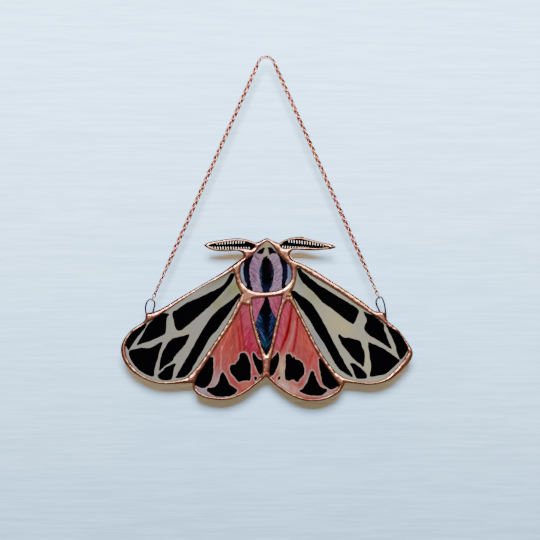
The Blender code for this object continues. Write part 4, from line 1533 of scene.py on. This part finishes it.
def tube_points(path: np.ndarray, radius: float, sides: int) -> np.ndarray:
    """Rings of a round wire whose path lies in the XZ plane.

    A ring is centre + radius (cos a across + sin a Y), where across lies in the XZ plane and is
    square to the path.

    Args:
        path: the centre line in the XZ plane, one row of x, z per point.
        radius: the wire's radius.
        sides: points round a ring.

    Returns:
        An array of path points by sides by x, y, z.
    """
    along = np.gradient(path, axis=0)
    along /= np.linalg.norm(along, axis=1, keepdims=True)
    across = np.stack([-along[:, 1], along[:, 0]], axis=1)
    angle = np.arange(sides) / sides * 2 * math.pi
    x = path[:, None, 0] + radius * np.cos(angle) * across[:, None, 0]
    z = path[:, None, 1] + radius * np.cos(angle) * across[:, None, 1]
    y = np.broadcast_to(radius * np.sin(angle), x.shape)
    return np.stack([x, y, z], axis=-1)


def ring_faces(rings: int, sides: int, closed: bool) -> np.ndarray:
    """Quads between neighbouring rings, facing outwards.

    Args:
        rings: number of rings.
        sides: points on each ring.
        closed: True joins the last ring to the first.

    Returns:
        One row of four point numbers per face.
    """
    count = rings if closed else rings - 1
    ring, side = np.meshgrid(np.arange(count), np.arange(sides), indexing="ij")
    after, beside = (ring + 1) % rings, (side + 1) % sides
    quads = [ring * sides + side, after * sides + side, after * sides + beside,
             ring * sides + beside]
    return np.stack(quads, axis=-1).reshape(-1, 4)


@dataclass
class WireLoop:
    """A bent wire whose two feet stand in the solder of a wing.

    Attributes:
        name: the piece's name.
        points: its centre line on the pattern.
        metal: its metal.
        sides: points round the wire.
    """

    name: str
    points: list[Point]
    metal: bpy.types.Material
    sides: int = 16

    def build(self) -> bpy.types.Object:
        """Builds the wire, closed by a flat fan on each foot, which the solder hides.

        Returns:
            The loop.
        """
        path = smooth_run(self.points, steps=6)
        rings = tube_points(path, LOOP_WIRE / 2, self.sides)
        number = len(path)
        points = rings.reshape(-1, 3)
        ends = np.array([[path[0, 0], 0, path[0, 1]], [path[-1, 0], 0, path[-1, 1]]])
        side = np.arange(self.sides)
        beside = (side + 1) % self.sides
        first, last = number * self.sides, number * self.sides + 1
        start_fan = np.stack([np.full(self.sides, first), side, beside], axis=1)
        base = (number - 1) * self.sides
        end_fan = np.stack([np.full(self.sides, last), base + beside, base + side], axis=1)
        faces = [*ring_faces(number, self.sides, closed=False), *start_fan, *end_fan]
        loop = make_piece(self.name, np.vstack([points, ends]), faces)
        loop.data.materials.append(self.metal)
        return loop


@dataclass
class Chain:
    """The cable chain and the two end links that hook the wire loops.

    Attributes:
        metal: its metal.
        around, sides: points round a link and round its wire.
        wire: thickness of the links' wire.
        lean: how far the whole chain is rolled, in degrees.
        sways: what unsettles the roll, as degrees, radians a link and phase.
        settling: power of the curve on which the roll dies out towards the ends.
        end_slim, top_slim: how much finer the links are near the loops and at the top, as share,
            the link where that begins and the links over which it grows.
        turns: points round the bend at the nail.
        hook_around, hook_sides: points round an end link and round its wire.
    """

    metal: bpy.types.Material
    around: int = 14
    sides: int = 5
    wire: float = 1.1 * MM
    lean: float = 43.0
    sways: tuple[tuple[float, float, float], ...] = ((7, 0.31, 0.0), (5, 0.83, 1.0))
    settling: float = 0.15
    end_slim: tuple[float, float, float] = (0.34, 12, 8)
    top_slim: tuple[float, float, float] = (0.23, 5, 3)
    turns: int = 33
    hook_around: int = 28
    hook_sides: int = 12

    @staticmethod
    def leg_direction(hook: Point) -> np.ndarray:
        """The way that a leg of the chain goes up, to where it meets the bend at the nail.

        It is the way to the bend's centre, turned by asin(radius / distance) to touch the bend.

        Args:
            hook: the leg's hook point on the pattern.

        Returns:
            The unit vector x, z.
        """
        centre = np.array([0.0, LINK_WIDTH / 2 - NAIL_BEND])
        to_centre = centre - on_panel(hook)
        reach = float(np.linalg.norm(to_centre))
        lean = math.asin(NAIL_BEND / reach) * math.copysign(1, to_centre[0])
        cosine, sine = math.cos(lean), math.sin(lean)
        turned = (cosine * to_centre[0] - sine * to_centre[1],
                  sine * to_centre[0] + cosine * to_centre[1])
        return np.array(turned) / reach

    def route(self) -> np.ndarray:
        """The middles of the links: up the left leg, round the nail and down the right leg.

        They stand at even distances along the two straight legs and the arc between them.

        Returns:
            One row of x, z per link.
        """
        left, right = self.leg_direction(LEFT_HOOK), self.leg_direction(RIGHT_HOOK)
        start = on_panel(LEFT_HOOK) + left * CHAIN_CLEARANCE
        end = on_panel(RIGHT_HOOK) + right * CHAIN_CLEARANCE
        centre = np.array([0.0, LINK_WIDTH / 2 - NAIL_BEND])
        first, last = math.atan2(left[0], -left[1]), math.atan2(right[0], -right[1]) + math.pi
        angles = np.linspace(first, last, self.turns)
        bend = centre + NAIL_BEND * np.stack([np.cos(angles), np.sin(angles)], axis=1)
        corners = np.vstack([start, bend, end])
        reach = np.concatenate([[0], np.cumsum(np.linalg.norm(np.diff(corners, axis=0), axis=1))])
        links = round(reach[-1] / LINK_PITCH / 2) * 2
        stations = np.linspace(0, reach[-1], links + 1)
        return np.stack([np.interp(stations, reach, corners[:, i]) for i in range(2)], axis=1)

    @staticmethod
    def oval(around: int, straight: float, radius: float) -> np.ndarray:
        """Centre line of a link: two half circles joined by straights, along and across it.

        Args:
            around: points round it, an even number.
            straight: length of its straight sides.
            radius: radius of its ends.

        Returns:
            One row of along, across per point.
        """
        angle = np.linspace(-math.pi / 2, math.pi / 2, around // 2)
        far = np.stack([straight / 2 + radius * np.cos(angle), radius * np.sin(angle)], axis=1)
        return np.vstack([far, -far])

    def links(self, middles: np.ndarray, along: np.ndarray, across: np.ndarray,
              oval: np.ndarray, slim: np.ndarray) -> tuple[np.ndarray, np.ndarray]:
        """Points and faces of one oval link at each middle.

        A link's wire is middle + a along + c across + r (cos b out + sin b normal), where out
        points away from the oval in the link's own plane, and normal is square to the plane.

        Args:
            middles, along, across: one row of x, y, z per link.
            oval: the centre line, one row of along, across per point.
            slim: each link's width and thickness, as a share of the full ones.

        Returns:
            The points, and the faces as rows of point numbers.
        """
        tangent = np.roll(oval, -1, axis=0) - np.roll(oval, 1, axis=0)
        tangent /= np.linalg.norm(tangent, axis=1, keepdims=True)
        out = np.stack([tangent[:, 1], -tangent[:, 0]], axis=1)
        normal = np.cross(along, across)
        angle = np.arange(self.sides) / self.sides * 2 * math.pi
        radius = self.wire / 2
        plane = oval[:, None, :] + radius * np.cos(angle)[None, :, None] * out[:, None, :]
        narrow = slim[:, None, None, None]
        points = (
            middles[:, None, None, :]
            + plane[None, :, :, 0, None] * along[:, None, None, :]
            + narrow * plane[None, :, :, 1, None] * across[:, None, None, :]
            + narrow * radius * np.sin(angle)[None, None, :, None] * normal[:, None, None, :]
        )
        one = ring_faces(len(oval), self.sides, closed=True)
        step = len(oval) * self.sides
        faces = (one[None] + (np.arange(len(middles)) * step)[:, None, None]).reshape(-1, 4)
        return points.reshape(-1, 3), faces

    def build(self) -> bpy.types.Object:
        """Builds all the small links as one piece, each turned a quarter from the last.

        Link i of n is also rolled by (lean + sways) sin(pi i / n)^settling.

        Returns:
            The chain.
        """
        route = self.route()
        along = np.gradient(route, axis=0)
        along /= np.linalg.norm(along, axis=1, keepdims=True)
        number = len(route)
        drop = APEX_DROP * np.exp(-((route[:, 0] / NAIL_BEND) ** 2))
        middles = np.stack([route[:, 0], np.zeros(number), route[:, 1] - drop], axis=1)
        forward = np.stack([along[:, 0], np.zeros(number), along[:, 1]], axis=1)
        level = np.stack([-along[:, 1], np.zeros(number), along[:, 0]], axis=1)
        index = np.arange(number)
        sway = sum(np.radians(size) * np.sin(index * pace + phase)
                   for size, pace, phase in self.sways)
        settled = np.sin(np.pi * index / (number - 1)) ** self.settling
        sway = (sway + math.radians(self.lean)) * settled
        roll = np.where(index % 2, math.pi / 2, 0.0) + sway
        depthwise = np.array([0.0, 1.0, 0.0])
        across = level * np.cos(roll)[:, None] + depthwise * np.sin(roll)[:, None]
        radius = (VISIBLE_LINK_WIDTH - self.wire) / 2
        straight = LINK_PITCH + self.wire - 2 * radius
        from_end = np.minimum(index, number - 1 - index)
        from_top = np.abs(index - (number - 1) / 2)
        slim = np.ones(number)
        for away, (share, start, over) in ((from_end, self.end_slim), (from_top, self.top_slim)):
            slim = slim - share * ease((start - away) / over)
        points, faces = self.links(middles, forward, across,
                                   self.oval(self.around, straight, radius), slim)
        chain = make_piece("fine_chain", points, faces)
        chain.data.materials.append(self.metal)
        return chain

    def end_link(self, name: str, hook: Point) -> bpy.types.Object:
        """Builds the oval link that goes round the wire of one loop, across the panel.

        Args:
            name: the piece's name.
            hook: the loop's hook point on the pattern.

        Returns:
            The link.
        """
        along = self.leg_direction(hook)
        middle = on_panel(hook) + along * LINK_STRAIGHT / 2
        finer = Chain(self.metal, self.hook_around, self.hook_sides, LINK_WIRE)
        points, faces = finer.links(
            np.array([[middle[0], 0.0, middle[1]]]), np.array([[along[0], 0.0, along[1]]]),
            np.array([[0.0, 1.0, 0.0]]),
            self.oval(self.hook_around, LINK_STRAIGHT, END_LINK_RADIUS), np.ones(1))
        link = make_piece(name, points, faces)
        link.data.materials.append(self.metal)
        return link


@dataclass
class Studio:
    """The pale painted wall and floor, the camera and the light.

    Attributes:
        wall: the wall's place behind the panel.
        wall_colour, floor_colour: its paint above, and the floor's.
        distance: distance from the camera to the panel.
        view_centre: the pattern point in the middle of the picture.
        view_width: width of the picture at the panel, in pattern units.
        top, floor, bend, front, half_width: the wall's top, the floor's height, the radius
            between them, the floor's near edge, and half the width of both.
        target: where the lights point.
        seen_room, mirrored_room, fill: the room as the camera, the metal and matt things see it.
    """

    wall: float = 0.078
    wall_colour: Colour = (0.60, 0.86, 0.97)
    floor_colour: Colour = (0.72, 0.50, 0.30)
    distance: float = 1.5
    view_centre: Point = (270, 270)
    view_width: float = 540
    top: float = 0.9
    floor: float = -0.75
    bend: float = 0.25
    front: float = -1.6
    half_width: float = 1.6
    target: tuple[float, float, float] = (0.0, 0.0, -0.14)
    seen_room: Colour = (0.80, 0.86, 0.92)
    mirrored_room: Colour = (0.16, 0.09, 0.06)
    fill: Colour = (1.13, 0.43, 0.10)

    def backdrop(self) -> bpy.types.Object:
        """A sweep: the wall comes down, turns through a quarter circle and goes on as the floor.

        A point of it is (x, y(s), z(s)), where s goes down the wall, round the arc and out.

        Returns:
            The sweep.
        """
        angle = np.linspace(0, math.pi / 2, 17)
        y = np.concatenate([[self.wall], self.wall - self.bend * (1 - np.cos(angle)),
                            [self.front]])
        z = np.concatenate([[self.top], self.floor + self.bend * (1 - np.sin(angle)),
                            [self.floor]])
        x = np.linspace(-self.half_width, self.half_width, 9)
        grid_y, grid_x = np.meshgrid(y, x, indexing="ij")
        grid_z = np.broadcast_to(z[:, None], grid_x.shape)
        points = np.stack([grid_x, grid_y, grid_z], axis=-1).reshape(-1, 3)
        faces = ring_faces(len(y), len(x), closed=False)
        faces = faces[np.abs(faces[:, 0] - faces[:, 3]) == 1]
        sweep = make_piece("painted_wall", points, faces)
        sweep.data.materials.append(self.wall_paint())
        sweep.visible_glossy = False
        return sweep

    def wall_paint(self) -> bpy.types.Material:
        """Matt pale paint with level brush marks, dimmer further down as painted light falloff,
        clear from behind.

        Returns:
            The material.
        """
        material, shader, principled, coordinates = new_material("pale_wall_paint")
        place = shader.add("Mapping", {"Vector": coordinates.outputs["Object"]})
        place.inputs["Scale"].default_value = (0.05, 1.0, 1.0)
        marks = shader.noise(place.outputs[0], scale=480, detail=4.0, roughness=0.7)
        tone = shader.ramp(marks, 0.36, 0.64, to_low=0.84, to_high=1.02)
        height = shader.add("SeparateXYZ", {0: coordinates.outputs["Object"]}).outputs["Z"]
        # Painted light falloff: the paint is made darker further down, as if less light reached it
        # there.
        brush_tone_and_painted_falloff = shader.maths("MULTIPLY", tone, shader.ramp(height, -0.30, 0.02, 0.40, 1.0, False))
        grey = shader.add("CombineColor", {0: brush_tone_and_painted_falloff, 1: brush_tone_and_painted_falloff, 2: brush_tone_and_painted_falloff}).outputs[0]
        lower = shader.ramp(height, -0.36, -0.5)
        colour = shader.mix(lower, self.wall_colour, self.floor_colour)
        shader.feed(principled.inputs["Base Color"], shader.mix(1.0, colour, grey, "MULTIPLY"))
        bump = shader.add("Bump", {"Height": marks, "Distance": 0.5 * MM, "Strength": 0.6})
        shader.feed(principled.inputs["Normal"], bump.outputs[0])
        principled.inputs["Roughness"].default_value = 0.7
        clear = shader.add("BsdfTransparent")
        side = shader.add("NewGeometry")
        blend = shader.add("MixShader", {0: side.outputs["Backfacing"],
                                         1: principled.outputs[0], 2: clear.outputs[0]})
        out = shader.tree.nodes["Material Output"]
        shader.feed(out.inputs["Surface"], blend.outputs[0])
        return material

    def camera(self) -> bpy.types.Object:
        """A long lens square to the panel.

        Returns:
            The camera.
        """
        data = bpy.data.cameras.new("camera")
        data.sensor_width = 36.0
        data.lens = data.sensor_width * self.distance / (self.view_width * UNIT)
        camera = bpy.data.objects.new("camera", data)
        x, z = on_panel(self.view_centre)
        camera.location = (x, -self.distance, z)
        camera.rotation_euler = (math.pi / 2, 0.0, 0.0)
        bpy.context.scene.collection.objects.link(camera)
        bpy.context.scene.camera = camera
        return camera

    def lamp(self, name: str, place: tuple[float, float, float], size: Point, power: float,
             colour: Colour = (1.0, 1.0, 1.0), mirrored: bool = True,
             lighting: bool = True) -> bpy.types.Object:
        """A soft rectangular light that points at the moth.

        Args:
            name: its name.
            place: where it stands, in metres.
            size: its width and height in metres.
            power: its power in watts.
            colour: its colour.
            mirrored: False keeps it out of reflections.
            lighting: False keeps it to reflections.

        Returns:
            The light.
        """
        data = bpy.data.lights.new(name, "AREA")
        data.shape, data.energy, data.color = "RECTANGLE", power, colour
        data.size, data.size_y = size
        lamp = bpy.data.objects.new(name, data)
        lamp.location = place
        aim = np.array(self.target) - np.array(place)
        tilt = math.atan2(math.hypot(aim[0], aim[1]), -aim[2])
        lamp.rotation_euler = (tilt, 0.0, math.atan2(aim[1], aim[0]) - math.pi / 2)
        lamp.visible_glossy = mirrored
        lamp.visible_diffuse = lighting
        lamp.visible_camera = False
        bpy.context.scene.collection.objects.link(lamp)
        return lamp

    def light(self) -> None:
        """A cool key from above the camera, softboxes for the metal to mirror, and warm fill."""
        self.lamp("key", (0.0, -1.55, 0.025), (0.12, 0.12), 145.0, (0.443, 0.705, 1.0),
                  mirrored=False)
        for name, place, size, power, colour in (
            ("overhead_box", (0.0, -0.75, 0.46), (1.3, 0.7), 24.0, (1.0, 0.94, 0.85)),
            ("spark", (-0.22, -0.70, 0.30), (0.12, 0.12), 4.0, (1.0, 0.93, 0.84)),
            ("left_box", (-0.66, -0.85, 0.10), (0.4, 0.7), 0.5, (1.0, 0.90, 0.78)),
            ("right_box", (0.80, -0.80, 0.10), (0.4, 0.7), 0.35, (1.0, 0.90, 0.78)),
            ("front_box", (0.0, -2.2, -0.1), (1.7, 1.7), 3.2, (1.0, 0.95, 0.92)),
        ):
            self.lamp(name, place, size, power, colour, lighting=False)
        self.lamp("rear", (0.3, 1.3, 0.3), (0.5, 0.5), 12.0)
        world = bpy.data.worlds.new("warm_room")
        world.use_nodes = True
        shader = Shader(world.node_tree)
        path = shader.add("LightPath")
        around = shader.mix(path.outputs["Is Diffuse Ray"], self.mirrored_room, self.fill)
        colour = shader.mix(path.outputs["Is Camera Ray"], around, self.seen_room)
        shader.feed(world.node_tree.nodes["Background"].inputs["Color"], colour)
        bpy.context.scene.world = world


COPPER = MetalFinish("copper_patina_solder", (0.92, 0.53, 0.34), (0.44, 0.19, 0.13), 0.85,
                     0.26 * MM, "edge", 0.7 * MM)
DARK_WIRE = MetalFinish("plated_loop_wire", (0.17, 0.07, 0.075), (0.08, 0.04, 0.045), 0.6,
                        0.01 * MM)
ROSE_CHAIN = MetalFinish("plated_chain", (0.88, 0.48, 0.33), (0.56, 0.22, 0.16), 0.8, 0.004 * MM)

PANES = (
    Pane("left_forewing", GlassFinish("left_forewing_glass", 55, 0.05), "forewing_glass"),
    Pane("right_forewing", GlassFinish("right_forewing_glass", 125, 0.05), "forewing_glass"),
    Pane("left_hindwing", GlassFinish("left_hindwing_glass", 75, 0.22, 0.7, 0.3),
         "hindwing_glass", 0.26 * MM),
    Pane("right_hindwing", GlassFinish("right_hindwing_glass", 100, 0.22, 0.7, 0.3),
         "hindwing_glass", 0.26 * MM),
    Pane("thorax", GlassFinish("thorax_glass", 120, 0.22, 0.6, 1.2), "thorax_glass", 0.2 * MM),
    Pane("abdomen", GlassFinish("abdomen_glass", 125, 0.22, 0.6, 1.2), "abdomen_glass", 0.2 * MM),
    Pane("left_antenna", GlassFinish("left_antenna_glass", 90, 0.05), "antenna_glass", 0.14 * MM),
    Pane("right_antenna", GlassFinish("right_antenna_glass", 90, 0.05), "antenna_glass",
         0.14 * MM),
)


def dress(piece: bpy.types.Object, body: str, node: str) -> None:
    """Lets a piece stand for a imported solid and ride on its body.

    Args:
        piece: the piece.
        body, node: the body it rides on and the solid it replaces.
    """
    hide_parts(node)
    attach(piece, body)
    LOG.info("%s: %d faces, for %s", piece.name, len(piece.data.polygons), node)


def main() -> None:
    """Builds the studio, then the net, the panes, the loops and the chain."""
    logging.basicConfig(level=logging.INFO, format="%(name)s: %(message)s")
    studio = Studio()
    studio.camera()
    studio.light()
    studio.backdrop()
    dress(SolderNet(COPPER.material()).build(), "moth", "solder_frame")
    for pane in PANES:
        dress(pane.build(), "moth", f"{pane.name}_glass")
    dark_wire = DARK_WIRE.material()
    for side, points in (("left", LEFT_LOOP), ("right", RIGHT_LOOP)):
        loop = WireLoop(f"{side}_wire_loop", points, dark_wire).build()
        dress(loop, "moth", f"{side}_hanging_loop")
    chain = Chain(ROSE_CHAIN.material())
    dress(chain.build(), "chain", "hanging_chain")
    for side, hook in (("left", LEFT_HOOK), ("right", RIGHT_HOOK)):
        dress(chain.end_link(f"{side}_hook_link", hook), "chain", f"{side}_end_link")


if __name__ == "__main__":
    main()
